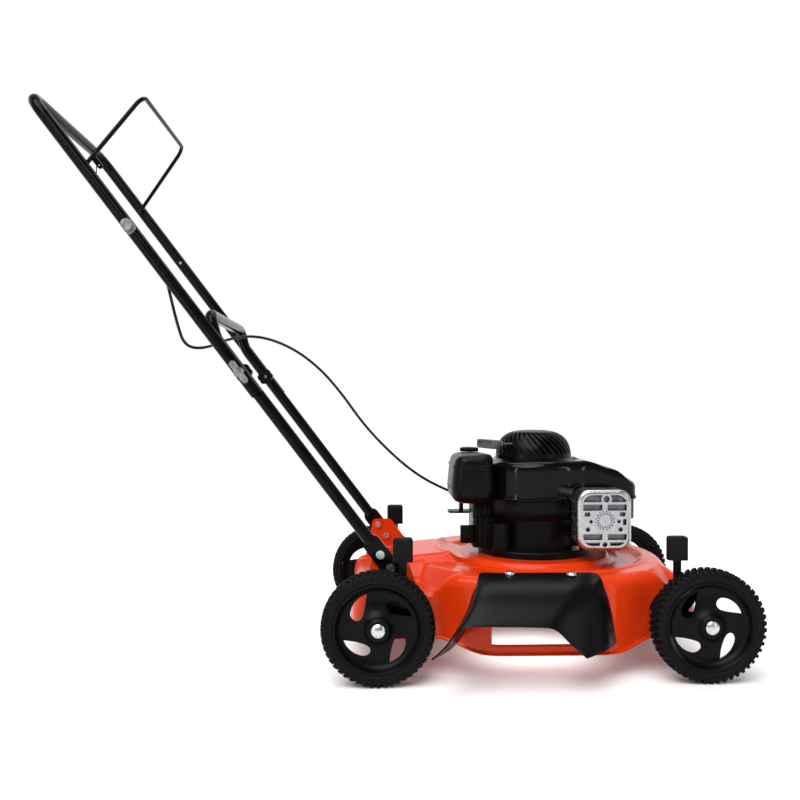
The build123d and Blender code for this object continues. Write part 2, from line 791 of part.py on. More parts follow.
FINS = 6
CYLINDER_R = 29.0
CYLINDER_BORE = 25.0

with BuildPart() as cylinder:
    with BuildSketch(Plane(origin=spot(ENGINE_X + 98, 0, CRANK_Z), z_dir=(1, 0, 0))):
        Circle(CYLINDER_R)
        Circle(CYLINDER_BORE, mode=Mode.SUBTRACT)
    extrude(amount=54)
    for fin in range(FINS):
        fin_plane = Plane(origin=spot(ENGINE_X + 101 + 9 * fin, 0, CRANK_Z), x_dir=(0, 1, 0), z_dir=(1, 0, 0))
        with BuildSketch(fin_plane):
            RectangleRounded(104, 58, 12)
            Circle(CYLINDER_BORE, mode=Mode.SUBTRACT)
        extrude(amount=3)
write(cylinder.part, "cylinder")

with BuildPart() as cylinder_head:
    with BuildSketch(Plane(origin=spot(ENGINE_X + 152, 0, CRANK_Z), x_dir=(0, 1, 0), z_dir=(1, 0, 0))):
        RectangleRounded(104, 58, 12)
    extrude(amount=12)
    for row in range(5):
        fin_plane = Plane(origin=spot(ENGINE_X + 164, -40 + 20 * row, CRANK_Z), x_dir=(0, 1, 0), z_dir=(1, 0, 0))
        with BuildSketch(fin_plane):
            Rectangle(4, 50)
            if row == 2:
                Circle(12)
        extrude(amount=8)
    with BuildSketch(Plane(origin=spot(ENGINE_X + 152, 0, CRANK_Z), z_dir=(1, 0, 0))):
        Circle(6.9)
    extrude(amount=30, mode=Mode.SUBTRACT)
write(cylinder_head.part, "cylinder_head")

with BuildPart() as spark_plug:
    plug_plane = Plane(origin=spot(ENGINE_X + 154, 0, CRANK_Z), z_dir=(1, 0, 0))
    with BuildSketch(plug_plane):
        Circle(6.9)
    extrude(amount=18)
    with BuildSketch(plug_plane.offset(18)):
        RegularPolygon(11, 6)
    extrude(amount=7)
    with BuildSketch(plug_plane.offset(25)):
        Circle(5.5)
    extrude(amount=16)
write(spark_plug.part, "spark_plug")


def housing_form(inset):
    """Outside of the blower housing, or with an inset its hollow."""
    bottom = HOUSING_BASE - (1 if inset else 0)
    with BuildPart() as form:
        with BuildSketch(level(bottom)):
            with Locations((ENGINE_X, 0)):
                Circle(HOUSING_R - inset)
            with Locations((430, 0)):
                RectangleRounded(126 - 2 * inset, 170 - 2 * inset, 24 - inset)
            with Locations((370, 0)):
                Rectangle(100, 190 - 2 * inset)
        extrude(amount=HOUSING_TOP - inset - bottom)
        # the front of the housing slopes down
        with BuildSketch(upright(0)):
            with BuildLine():
                Polyline(
                    (388, HOUSING_TOP + 5),
                    (388, HOUSING_TOP - inset),
                    (480, 350 - inset),
                    (510, 344 - inset),
                    (510, HOUSING_TOP + 5),
                    close=True,
                )
            make_face()
        extrude(amount=200, both=True, mode=Mode.SUBTRACT)
        fillet(form.edges().group_by(Axis.Z)[-1], 10 - inset)
    return form.part


housing_outside = housing_form(0)
housing_inside = housing_form(HOUSING_WALL)

with BuildPart() as blower_housing:
    add(housing_outside)
    add(housing_inside, mode=Mode.SUBTRACT)
    # air intake under the recoil cover
    with BuildSketch(level(HOUSING_TOP + 1)):
        with Locations((ENGINE_X, 0)):
            Circle(70)
    extrude(amount=-10, mode=Mode.SUBTRACT)
write(blower_housing.part, "blower_housing")

DOME_SLOTS = 16
PULLEY_Z = 414.0
PULLEY_GROOVE_R = 43.7
ROPE_R = 2.0
ROPE_Y = -(PULLEY_GROOVE_R + CLEAR_GAP + ROPE_R)

with BuildPart() as recoil_cover:
    with BuildSketch(Plane(origin=spot(ENGINE_X, 0, 0), x_dir=(1, 0, 0), z_dir=(0, -1, 0))):
        with BuildLine():
            Polyline((0, DOME_TOP), (DOME_TOP_R - 12, DOME_TOP))
            RadiusArc((DOME_TOP_R - 12, DOME_TOP), (DOME_BASE_R - 4, HOUSING_TOP + 22), 46)
            Polyline(
                (DOME_BASE_R - 4, HOUSING_TOP + 22),
                (DOME_BASE_R, HOUSING_TOP),
                (DOME_BASE_R - 3, HOUSING_TOP),
                (DOME_BASE_R - 7, HOUSING_TOP + 22),
                (DOME_TOP_R - 14, DOME_TOP - 3),
                (0, DOME_TOP - 3),
                (0, DOME_TOP),
            )
        make_face()
    revolve(axis=Axis(spot(ENGINE_X, 0, 0), (0, 0, 1)))
    with BuildSketch(level(DOME_TOP + 1)):
        with Locations((ENGINE_X, 0)):
            with PolarLocations(31, DOME_SLOTS):
                SlotOverall(22, 4)
    extrude(amount=-8, mode=Mode.SUBTRACT)
    # post that the starter pulley turns on, and the rope's outlet at the rear
    with BuildSketch(level(PULLEY_Z - 12)):
        with Locations((ENGINE_X, 0)):
            Circle(8)
    extrude(amount=DOME_TOP - 2 - PULLEY_Z + 12)
    with BuildSketch(Plane(origin=spot(ENGINE_X - 40, ROPE_Y, PULLEY_Z), z_dir=(-1, 0, 0))):
        Circle(5)
    extrude(amount=80, mode=Mode.SUBTRACT)
write(recoil_cover.part, "recoil_cover")

with BuildPart() as starter_pulley:
    with BuildSketch(Plane(origin=spot(ENGINE_X, 0, 0), x_dir=(1, 0, 0), z_dir=(0, -1, 0))):
        with BuildLine():
            Polyline(
                (8.1, PULLEY_Z - 8),
                (50, PULLEY_Z - 8),
                (50, PULLEY_Z - 5),
                (PULLEY_GROOVE_R, PULLEY_Z - 3),
                (PULLEY_GROOVE_R, PULLEY_Z + 3),
                (50, PULLEY_Z + 5),
                (50, PULLEY_Z + 8),
                (8.1, PULLEY_Z + 8),
                close=True,
            )
        make_face()
    revolve(axis=Axis(spot(ENGINE_X, 0, 0), (0, 0, 1)))
write(starter_pulley.part, "starter_pulley")

# the rope leaves the pulley at a tangent and runs level to the grip behind the dome
GRIP_X = 210.0
ROPE_INNER_END = ENGINE_X + 30

with BuildPart() as starter_rope:
    with BuildSketch(Plane(origin=spot(GRIP_X + 18, ROPE_Y, PULLEY_Z), z_dir=(1, 0, 0))):
        Circle(ROPE_R)
    extrude(amount=ROPE_INNER_END - GRIP_X - 18)
write(starter_rope.part, "starter_rope")

with BuildPart() as starter_grip:
    with BuildSketch(Plane(origin=spot(GRIP_X - 14, ROPE_Y, PULLEY_Z), x_dir=(0, 1, 0), z_dir=(1, 0, 0))) as grip_back:
        RectangleRounded(66, 16, 6)
    with BuildSketch(Plane(origin=spot(GRIP_X + 4, ROPE_Y, PULLEY_Z), x_dir=(0, 1, 0), z_dir=(1, 0, 0))) as grip_front:
        RectangleRounded(60, 16, 6)
    with BuildSketch(Plane(origin=spot(GRIP_X + 18, ROPE_Y, PULLEY_Z), x_dir=(0, 1, 0), z_dir=(1, 0, 0))) as grip_nose:
        RectangleRounded(14, 12, 5)
    loft([grip_back.sketch, grip_front.sketch])
    loft([grip_front.sketch, grip_nose.sketch])
write(starter_grip.part, "starter_grip")

TANK_LOW = (120.0, -105.0, 297.0)
TANK_SIZE = (84.0, 142.0, 98.0)
TANK_TOP = TANK_LOW[2] + TANK_SIZE[2]
CAP_X = 166.0
CAP_Y = 15.0
NECK_R = 15.0


def tank_form(inset):
    with BuildPart() as form:
        with BuildSketch(level(TANK_LOW[2] + inset)):
            with Locations((TANK_LOW[0] + TANK_SIZE[0] / 2, TANK_LOW[1] + TANK_SIZE[1] / 2)):
                RectangleRounded(TANK_SIZE[0] - 2 * inset, TANK_SIZE[1] - 2 * inset, 16 - inset)
        extrude(amount=TANK_SIZE[2] - 2 * inset)
        fillet(form.edges().group_by(Axis.Z)[-1], 12 - inset)
        fillet(form.edges().group_by(Axis.Z)[0], 8 - inset)
        with BuildSketch(level(TANK_LOW[2] - 1)):
            with Locations((ENGINE_X, 0)):
                Circle(HOUSING_R + CLEAR_GAP + inset)
        extrude(amount=TANK_SIZE[2] + 2, mode=Mode.SUBTRACT)
    return form.part


tank_outside = tank_form(0)
tank_inside = tank_form(2.5)

with BuildPart() as fuel_tank:
    add(tank_outside)
    add(tank_inside, mode=Mode.SUBTRACT)
    with BuildSketch(level(TANK_TOP - 3)):
        with Locations((CAP_X, CAP_Y)):
            Circle(NECK_R)
    extrude(amount=9)
    with BuildSketch(level(TANK_TOP - 6)):
        with Locations((CAP_X, CAP_Y)):
            Circle(12)
    extrude(amount=14, mode=Mode.SUBTRACT)
write(fuel_tank.part, "fuel_tank")

with BuildPart() as fuel_cap:
    with BuildSketch(level(TANK_TOP + 0.5)):
        with Locations((CAP_X, CAP_Y)):
            Circle(20)
            with PolarLocations(20, 16):
                Circle(1.8)
    extrude(amount=13)
    with BuildSketch(level(TANK_TOP)):
        with Locations((CAP_X, CAP_Y)):
            Circle(NECK_R + CLEAR_GAP)
    extrude(amount=6 + CLEAR_GAP, mode=Mode.SUBTRACT)
write(fuel_cap.part, "fuel_cap")

with BuildPart() as brake_lever:
    with BuildSketch(upright(62)):
        with Locations(BRAKE_PIN):
            Circle(8)
        with Locations((BRAKE_PIN[0] - 2, BRAKE_PIN[1] + 16)):
            Rectangle(9, 26)
        with Locations(BRAKE_PIN):
            Circle(BRAKE_PIN_R + RUNNING_GAP / 2, mode=Mode.SUBTRACT)
        with Locations((BRAKE_PIN[0] - 3, BRAKE_PIN[1] + 22)):
            Circle(1.2, mode=Mode.SUBTRACT)
    extrude(amount=1.5, both=True)
write(brake_lever.part, "brake_lever")

INTAKE_X = 412.0
INTAKE_Z = 241.0
INTAKE_R = 13.0
FILTER_Z = 252.0

with BuildPart() as carburettor:
    with BuildSketch(level(224)):
        with Locations((INTAKE_X, 82)):
            RectangleRounded(44, 38, 5)
    extrude(amount=34)
    with BuildSketch(level(207)):
        with Locations((INTAKE_X, 82)):
            Circle(17)
    extrude(amount=17)
    with BuildSketch(upright(104)):
        with Locations((INTAKE_X, INTAKE_Z)):
            Circle(INTAKE_R)
    extrude(amount=52)
write(carburettor.part, "carburettor")

with BuildPart() as air_filter_cover:
    with BuildSketch(upright(104)):
        with Locations((INTAKE_X, FILTER_Z)):
            RectangleRounded(112, 92, 14)
    extrude(amount=-46)
    fillet(air_filter_cover.edges().group_by(Axis.Y)[-1], 8)
    with BuildSketch(upright(106)):
        with Locations((INTAKE_X, FILTER_Z)):
            RectangleRounded(107, 87, 11.5)
    extrude(amount=-41.5, mode=Mode.SUBTRACT)
    with BuildSketch(upright(103)):
        with Locations((INTAKE_X, INTAKE_Z)):
            Circle(INTAKE_R + 0.2)
    extrude(amount=-5, mode=Mode.SUBTRACT)
write(air_filter_cover.part, "air_filter_cover")

with BuildPart() as air_filter_element:
    with BuildSketch(upright(109)):
        with Locations((INTAKE_X, FILTER_Z)):
            RectangleRounded(98, 78, 8)
    extrude(amount=-30)
write(air_filter_element.part, "air_filter_element")

MUFFLER_X = 408.0
MUFFLER_Z = 272.5
GUARD_FACE_Y = -150.0

with BuildPart() as muffler:
    with BuildSketch(upright(-104)):
        with Locations((MUFFLER_X, MUFFLER_Z)):
            RectangleRounded(92, 102, 18)
    extrude(amount=38)
    fillet(muffler.edges().group_by(Axis.Y)[0], 6)
    with BuildSketch(upright(-52)):
        with Locations((MUFFLER_X, 234)):
            Circle(11)
    extrude(amount=54)
write(muffler.part, "muffler")

GUARD_WALL = 1.5


def guard_form(inset):
    """Outside of the muffler guard, or with an inset its hollow; open towards the engine."""
    back = -100 + (1 if inset else 0)
    with BuildPart() as form:
        with BuildSketch(upright(back)):
            with Locations((MUFFLER_X, MUFFLER_Z)):
                RectangleRounded(105 - 2 * inset, 117 - 2 * inset, 24 - inset)
        extrude(amount=back - GUARD_FACE_Y - inset)
        fillet(form.edges().group_by(Axis.Y)[0], 8 - inset)
    return form.part


guard_outside = guard_form(0)
guard_inside = guard_form(GUARD_WALL)

with BuildPart() as muffler_guard:
    add(guard_outside)
    add(guard_inside, mode=Mode.SUBTRACT)
    # openings in the face: rows above and below a middle panel, parted by bars and a post
    with BuildSketch(upright(-140)):
        with Locations((MUFFLER_X, MUFFLER_Z)):
            RectangleRounded(84, 97, 18)
            Rectangle(10, 97, mode=Mode.SUBTRACT)
            with Locations((0, 33), (0, -39.5)):
                Rectangle(84, 4.5, mode=Mode.SUBTRACT)
            with Locations((0, -3.5)):
                Rectangle(84, 45, mode=Mode.SUBTRACT)
            with Locations((3, 41), (0, -46)):
                Circle(10, mode=Mode.SUBTRACT)
            with Locations((3, 41)):
                Circle(6.2)
            with Locations((0, -46)):
                Circle(4.8)
            # ring of small holes round a plain disc, and larger holes beside it
            with PolarLocations(13, 16):
                Circle(1.5)
            with PolarLocations(17, 16, start_angle=11.25):
                Circle(1.5)
            with Locations((-27, -2), (27, -2)):
                Circle(3.4)
            with Locations((-33, -17), (30, -17)):
                Circle(4.4)
            with Locations((-34, 12), (34, 12)):
                RectangleRounded(11, 8, 2)
            with Locations((38, -3)):
                RectangleRounded(7, 12, 2)
    extrude(amount=20, mode=Mode.SUBTRACT)
    # square holes in the side, top and bottom walls
    with BuildSketch(Plane(origin=spot(MUFFLER_X, -122, MUFFLER_Z), x_dir=(0, 1, 0), z_dir=(1, 0, 0))):
        with GridLocations(17, 18, 2, 5):
            Rectangle(10, 10)
    extrude(amount=60, both=True, mode=Mode.SUBTRACT)
    with BuildSketch(level(MUFFLER_Z)):
        with Locations((MUFFLER_X, -122)):
            with GridLocations(16, 17, 5, 2):
                Rectangle(9, 10)
    extrude(amount=70, both=True, mode=Mode.SUBTRACT)
write(muffler_guard.part, "muffler_guard")

# ---------------------------------------------------------------- rotating parts
FLY_Z = 300.0
FLY_R = 88.0
BLADE_Z = 80.0
BLADE_LENGTH = 500.0
BLADE_BOLT_R = 4.75
SHAFT_END = 90.0

with BuildPart() as crankshaft:
    with BuildSketch(level(SHAFT_END)):
        with Locations((ENGINE_X, 0)):
            Circle(SHAFT_R)
    extrude(amount=126)
    for base, height, x, radius in ((216, 8, 0, 42), (224, 16, 20, 9), (240, 8, 0, 42), (248, 44, 0, 12.5)):
        with BuildSketch(level(base)):
            with Locations((ENGINE_X + x, 0)):
                Circle(radius)
        extrude(amount=height)
    with BuildSketch(level(292)):
        with Locations((ENGINE_X, 0)):
            Circle(10)
    extrude(amount=60)
    with BuildSketch(level(SHAFT_END)):
        with Locations((ENGINE_X, 0)):
            Circle(BLADE_BOLT_R)
    extrude(amount=30, mode=Mode.SUBTRACT)
write(crankshaft.part, "crankshaft")

with BuildPart() as flywheel:
    with BuildSketch(level(FLY_Z)):
        with Locations((ENGINE_X, 0)):
            Circle(FLY_R)
            Circle(10, mode=Mode.SUBTRACT)
    extrude(amount=10)
    with BuildSketch(level(FLY_Z)):
        with Locations((ENGINE_X, 0)):
            Circle(FLY_R)
            Circle(FLY_R - 14, mode=Mode.SUBTRACT)
    extrude(amount=24)
    with BuildSketch(level(FLY_Z)):
        with Locations((ENGINE_X, 0)):
            Circle(20)
            Circle(10, mode=Mode.SUBTRACT)
    extrude(amount=40)
    with BuildSketch(level(FLY_Z + 24)):
        with Locations((ENGINE_X, 0)):
            with PolarLocations(70, 18):
                Rectangle(30, 3, rotation=35)
    extrude(amount=24)
    with BuildSketch(level(FLY_Z + 8)):
        with Locations((ENGINE_X, 0)):
            with PolarLocations(68, 18):
                Rectangle(14, 6)
    extrude(amount=16)
write(flywheel.part, "flywheel")

with BuildPart() as ignition_coil:
    with BuildSketch(level(CASE_TOP)):
        with Locations((385, -20), (385, 20)):
            Rectangle(14, 10)
    extrude(amount=36)
    with BuildSketch(level(FLY_Z)):
        with Locations((402, 0)):
            Rectangle(26, 50)
        with Locations((385, -20), (385, 20)):
            Rectangle(14, 10)
        with Locations((ENGINE_X, 0)):
            Circle(FLY_R + 1, mode=Mode.SUBTRACT)
    extrude(amount=24)
write(ignition_coil.part, "ignition_coil")

with BuildPart() as blade_adapter:
    with BuildSketch(level(BLADE_Z + 4)):
        with Locations((ENGINE_X, 0)):
            Circle(21)
            Rectangle(70, 30)
    extrude(amount=5)
    with BuildSketch(level(BLADE_Z + 9)):
        with Locations((ENGINE_X, 0)):
            Circle(21)
    extrude(amount=27)
    with BuildSketch(level(SHAFT_END)):
        with Locations((ENGINE_X, 0)):
            Circle(SHAFT_R)
    extrude(amount=60, mode=Mode.SUBTRACT)
    with BuildSketch(level(BLADE_Z)):
        with Locations((ENGINE_X, 0)):
            Circle(BLADE_BOLT_R)
    extrude(amount=20, mode=Mode.SUBTRACT)
write(blade_adapter.part, "blade_adapter")

with BuildPart() as blade:
    with BuildSketch(level(BLADE_Z)):
        with Locations((ENGINE_X, 0)):
            RectangleRounded(BLADE_LENGTH, 57, 6)
            Circle(BLADE_BOLT_R, mode=Mode.SUBTRACT)
    extrude(amount=4)
    # the trailing edges turn up to lift the grass
    for end in (-1, 1):
        with BuildSketch(Plane(origin=spot(ENGINE_X + end * 205, 0, BLADE_Z), x_dir=(0, 1, 0), z_dir=(1, 0, 0))):
            with BuildLine():
                Polyline((-end * 16, 0.5), (-end * 34, 18), (-end * 34, 22), (-end * 14, 4), close=True)
            make_face()
        extrude(amount=38, both=True)
write(blade.part, "blade")

with BuildPart() as blade_bolt:
    with BuildSketch(level(BLADE_Z - 4)):
        with Locations((ENGINE_X, 0)):
            Circle(18)
    extrude(amount=4)
    with BuildSketch(level(BLADE_Z - 12)):
        with Locations((ENGINE_X, 0)):
            RegularPolygon(9.5, 6)
    extrude(amount=8)
    with BuildSketch(level(BLADE_Z)):
        with Locations((ENGINE_X, 0)):
            Circle(BLADE_BOLT_R)
    extrude(amount=36)
write(blade_bolt.part, "blade_bolt")
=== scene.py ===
from math import atan2, cos, pi, radians, sin, sqrt

import bmesh
import bpy
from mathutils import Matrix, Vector


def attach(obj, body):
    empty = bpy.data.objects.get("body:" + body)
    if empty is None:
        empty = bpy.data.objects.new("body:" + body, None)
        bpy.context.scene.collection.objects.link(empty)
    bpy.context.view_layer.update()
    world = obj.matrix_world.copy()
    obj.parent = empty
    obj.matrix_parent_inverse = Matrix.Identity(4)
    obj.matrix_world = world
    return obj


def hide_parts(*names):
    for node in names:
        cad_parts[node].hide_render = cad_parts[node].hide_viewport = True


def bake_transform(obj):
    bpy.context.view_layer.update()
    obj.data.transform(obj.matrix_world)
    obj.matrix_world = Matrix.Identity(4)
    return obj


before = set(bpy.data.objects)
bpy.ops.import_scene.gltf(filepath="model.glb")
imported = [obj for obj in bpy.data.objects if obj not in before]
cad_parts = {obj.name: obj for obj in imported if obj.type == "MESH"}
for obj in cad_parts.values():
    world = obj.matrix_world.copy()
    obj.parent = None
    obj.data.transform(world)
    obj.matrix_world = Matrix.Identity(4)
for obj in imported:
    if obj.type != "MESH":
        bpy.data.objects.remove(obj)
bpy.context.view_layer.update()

MID_Y = 0.022                # the mower's middle plane
SIDES = {"right": -1, "left": 1}
REAR_AXLE_X = -0.0275
FRONT_AXLE_X = 0.5625
ENGINE_X = 0.298


# ---------------------------------------------------------------- camera
camera_data = bpy.data.cameras.new("camera")
camera_data.lens = 39.0
camera_data.sensor_width = 36.0
camera = bpy.data.objects.new("camera", camera_data)
bpy.context.collection.objects.link(camera)
camera.location = (-0.0427, MID_Y - 1.7919, 0.5116)
camera.rotation_euler = (radians(90 - 0.29), 0, radians(-2.03))
bpy.context.scene.camera = camera


# ---------------------------------------------------------------- materials
def new_material(name):
    made = bpy.data.materials.new(name)
    made.use_nodes = True
    nodes = made.node_tree.nodes
    shader = nodes["Principled BSDF"]
    place = nodes.new("ShaderNodeTexCoord")
    return made, nodes, made.node_tree.links, shader, place.outputs["Object"]


def add_noise(nodes, links, place, scale, detail=4.0, roughness=0.5):
    noise = nodes.new("ShaderNodeTexNoise")
    noise.inputs["Scale"].default_value = scale
    noise.inputs["Detail"].default_value = detail
    noise.inputs["Roughness"].default_value = roughness
    links.new(place, noise.inputs["Vector"])
    return noise.outputs["Fac"]


def add_ramp(nodes, links, value, dark, light, low=0.35, high=0.65):
    """Colours a 0..1 value between two colours."""
    ramp = nodes.new("ShaderNodeValToRGB")
    ramp.color_ramp.elements[0].position = low
    ramp.color_ramp.elements[0].color = (*dark, 1)
    ramp.color_ramp.elements[1].position = high
    ramp.color_ramp.elements[1].color = (*light, 1)
    links.new(value, ramp.inputs["Fac"])
    return ramp.outputs["Color"]


def add_range(nodes, links, value, low, high):
    spread = nodes.new("ShaderNodeMapRange")
    spread.inputs["From Min"].default_value = 0.3
    spread.inputs["From Max"].default_value = 0.7
    spread.inputs["To Min"].default_value = low
    spread.inputs["To Max"].default_value = high
    links.new(value, spread.inputs["Value"])
    return spread.outputs["Result"]


def add_bump(nodes, links, shader, heights, strength, depth):
    """Chains height maps into the shader's normal."""
    normal = None
    for height, share in heights:
        bump = nodes.new("ShaderNodeBump")
        bump.inputs["Strength"].default_value = strength * share
        bump.inputs["Distance"].default_value = depth
        links.new(height, bump.inputs["Height"])
        if normal is not None:
            links.new(normal, bump.inputs["Normal"])
        normal = bump.outputs["Normal"]
    links.new(normal, shader.inputs["Normal"])


def finish_material(name, dark, light, rough, patch=60.0, grain=900.0, bump=0.15, depth=0.0004, metallic=0.0,
                    coat=0.0, coat_rough=0.05, specular=0.5):
    """Colour and roughness drift in soft patches, and a fine grain stands in the normal."""
    made, nodes, links, shader, place = new_material(name)
    patches = add_noise(nodes, links, place, patch, 5.0)
    fine = add_noise(nodes, links, place, grain, 3.0)
    links.new(add_ramp(nodes, links, patches, dark, light), shader.inputs["Base Color"])
    links.new(add_range(nodes, links, patches, rough[0], rough[1]), shader.inputs["Roughness"])
    add_bump(nodes, links, shader, [(fine, 1.0), (patches, 0.3)], bump, depth)
    shader.inputs["Metallic"].default_value = metallic
    shader.inputs["Coat Weight"].default_value = coat
    shader.inputs["Coat Roughness"].default_value = coat_rough
    shader.inputs["Specular IOR Level"].default_value = specular
    return made


def galvanised(name):
    """Zinc crystals show as cells of slightly different brightness."""
    made, nodes, links, shader, place = new_material(name)
    cells = nodes.new("ShaderNodeTexVoronoi")
    cells.inputs["Scale"].default_value = 150.0
    links.new(place, cells.inputs["Vector"])
    split = nodes.new("ShaderNodeSeparateColor")
    links.new(cells.outputs["Color"], split.inputs["Color"])
    tone = add_ramp(nodes, links, split.outputs["Red"], (0.46, 0.47, 0.48), (0.53, 0.54, 0.55), 0.0, 1.0)
    links.new(tone, shader.inputs["Base Color"])
    spread = nodes.new("ShaderNodeMapRange")
    spread.inputs["To Min"].default_value = 0.24
    spread.inputs["To Max"].default_value = 0.33
    links.new(split.outputs["Green"], spread.inputs["Value"])
    links.new(spread.outputs["Result"], shader.inputs["Roughness"])
    fine = add_noise(nodes, links, place, 500.0)
    add_bump(nodes, links, shader, [(fine, 1.0)], 0.02, 0.0002)
    shader.inputs["Metallic"].default_value = 1.0
    return made


def striped(name, dark, light, rough, scale, direction="X"):
    """Fine parallel ridges: rope strands or paper pleats."""
    made, nodes, links, shader, place = new_material(name)
    wave = nodes.new("ShaderNodeTexWave")
    wave.bands_direction = direction
    wave.inputs["Scale"].default_value = scale
    wave.inputs["Distortion"].default_value = 0.6
    links.new(place, wave.inputs["Vector"])
    links.new(add_ramp(nodes, links, wave.outputs["Fac"], dark, light, 0.2, 0.8), shader.inputs["Base Color"])
    fine = add_noise(nodes, links, place, 800.0)
    links.new(add_range(nodes, links, fine, rough[0], rough[1]), shader.inputs["Roughness"])
    add_bump(nodes, links, shader, [(wave.outputs["Fac"], 1.0), (fine, 0.3)], 0.5, 0.0008)
    return made


RED = finish_material("red_enamel", (0.56, 0.030, 0.0025), (0.63, 0.037, 0.0035), (0.18, 0.26), patch=9.0,
                      grain=420.0, bump=0.03, depth=0.0002, coat=0.16, coat_rough=0.04, specular=0.12)
BLACK_TUBE = finish_material("black_enamel", (0.0020, 0.0020, 0.0022), (0.0034, 0.0034, 0.0036), (0.12, 0.20),
                             patch=25.0, grain=500.0, bump=0.05, depth=0.0002, specular=0.09)
BLACK_STEEL = finish_material("black_steel", (0.0025, 0.0025, 0.0028), (0.0045, 0.0045, 0.0048), (0.28, 0.40),
                              patch=40.0, grain=700.0, bump=0.08, depth=0.0003, specular=0.14)
GLOSS_PLASTIC = finish_material("gloss_black_plastic", (0.0014, 0.0014, 0.0018), (0.0022, 0.0022, 0.0026),
                                (0.08, 0.14), patch=18.0, grain=300.0, bump=0.03, depth=0.0002, specular=0.16)
SATIN_PLASTIC = finish_material("satin_black_plastic", (0.0014, 0.0014, 0.0015), (0.0028, 0.0028, 0.0029),
                                (0.26, 0.36), patch=30.0, grain=1400.0, bump=0.22, depth=0.0003,
                                specular=0.11)
CHUTE_PLASTIC = finish_material("grained_black_plastic", (0.0016, 0.0016, 0.0017), (0.0030, 0.0030, 0.0031),
                                (0.24, 0.34), patch=14.0, grain=1100.0, bump=0.24, depth=0.0003,
                                specular=0.11)
RIM_PLASTIC = finish_material("rim_plastic", (0.0014, 0.0014, 0.0015), (0.0026, 0.0026, 0.0027), (0.30, 0.42),
                              patch=40.0, grain=1300.0, bump=0.18, depth=0.0003, specular=0.10)
RUBBER = finish_material("tyre_rubber", (0.0016, 0.0016, 0.0016), (0.0040, 0.0040, 0.0039), (0.55, 0.75),
                         patch=55.0, grain=1000.0, bump=0.35, depth=0.0004, specular=0.12)
GRIP_RUBBER = finish_material("grip_rubber", (0.0030, 0.0030, 0.0032), (0.0055, 0.0055, 0.0058), (0.50, 0.62),
                              patch=50.0, grain=1500.0, bump=0.30, depth=0.0003, specular=0.12)
ZINC = finish_material("zinc_plate", (0.55, 0.56, 0.57), (0.72, 0.72, 0.73), (0.22, 0.34), patch=120.0,
                       grain=900.0, bump=0.06, depth=0.0002, metallic=1.0)
BARE_STEEL = finish_material("bare_steel", (0.24, 0.24, 0.25), (0.38, 0.38, 0.39), (0.28, 0.42), patch=90.0,
                             grain=900.0, bump=0.12, depth=0.0003, metallic=1.0)
# a darker copy of the bare steel: painted shade for the muffler behind its guard
MUFFLER_SHADE_STEEL = finish_material("steel_with_painted_shade", (0.10, 0.10, 0.11), (0.20, 0.20, 0.21), (0.30, 0.45), patch=70.0,
                             grain=800.0, bump=0.12, depth=0.0003, metallic=1.0)
CAST_BLACK = finish_material("painted_casting", (0.0022, 0.0022, 0.0024), (0.0042, 0.0042, 0.0044),
                             (0.26, 0.42), patch=45.0, grain=650.0, bump=0.30, depth=0.0005, specular=0.09)
CAST_ALUMINIUM = finish_material("cast_aluminium", (0.34, 0.34, 0.35), (0.52, 0.52, 0.53), (0.38, 0.55),
                                 patch=80.0, grain=600.0, bump=0.30, depth=0.0005, metallic=1.0)
GREY_PLASTIC = finish_material("grey_plastic", (0.060, 0.062, 0.065), (0.085, 0.088, 0.092), (0.34, 0.44),
                               patch=60.0, grain=1400.0, bump=0.20, depth=0.0003, specular=0.35)
GALVANISED = galvanised("galvanised_steel")
PAPER = striped("pleated_paper", (0.42, 0.36, 0.16), (0.66, 0.60, 0.34), (0.75, 0.9), 60.0)
ROPE = striped("braided_rope", (0.02, 0.02, 0.02), (0.10, 0.10, 0.10), (0.7, 0.85), 120.0, "DIAGONAL")
CABLE = finish_material("cable_casing", (0.0030, 0.0030, 0.0032), (0.0050, 0.0050, 0.0052), (0.28, 0.38),
                        patch=120.0, grain=1500.0, bump=0.1, depth=0.0002, specular=0.25)

CORNERS = [f"{end}_{side}" for end in ("rear", "front") for side in SIDES]
NODE_MATERIALS = {
    RED: ["deck", "handle_brackets"],
    BLACK_TUBE: ["lower_handle", "middle_tubes", "upper_handle", "bail"],
    BLACK_STEEL: ["height_quadrants", "blade"]
    + [f"height_lever_{c}" for c in CORNERS if c != "rear_left"],
    GLOSS_PLASTIC: ["blower_housing"],
    SATIN_PLASTIC: ["fuel_tank", "fuel_cap", "oil_cap", "recoil_cover", "air_filter_cover", "fold_knobs",
                    "ignition_coil", "starter_pulley"],
    CHUTE_PLASTIC: ["discharge_chute"],
    RIM_PLASTIC: [f"rim_{c}" for c in CORNERS],
    RUBBER: [f"tyre_{c}" for c in CORNERS],
    GRIP_RUBBER: [f"lever_grip_{c}" for c in CORNERS],
    ZINC: ["handle_bolts", "chute_bolts", "engine_bolts", "blade_bolt", "spark_plug", "brake_lever"]
    + [f"axle_bolt_{c}" for c in CORNERS],
    # the far rear lever gets bare steel while the other levers get black steel: a painted reflection of light
    # on its inner face
    BARE_STEEL: ["crankshaft", "blade_adapter", "splice_bolts", "fold_bolts", "height_lever_rear_left"],
    # the muffler's darker steel is painted shade behind the guard
    MUFFLER_SHADE_STEEL: ["muffler"],
    CAST_BLACK: ["crankcase"],
    CAST_ALUMINIUM: ["cylinder", "cylinder_head", "carburettor", "flywheel"],
    GREY_PLASTIC: ["starter_grip"],
    GALVANISED: ["muffler_guard"],
    PAPER: ["air_filter_element"],
    ROPE: ["starter_rope"],
    CABLE: ["cable_upper", "cable_free"],
}
for finish, names in NODE_MATERIALS.items():
    for node_name in names:
        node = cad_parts[node_name]
        if not node.material_slots:
            node.data.materials.append(finish)
        for material_slot in node.material_slots:
            material_slot.material = finish


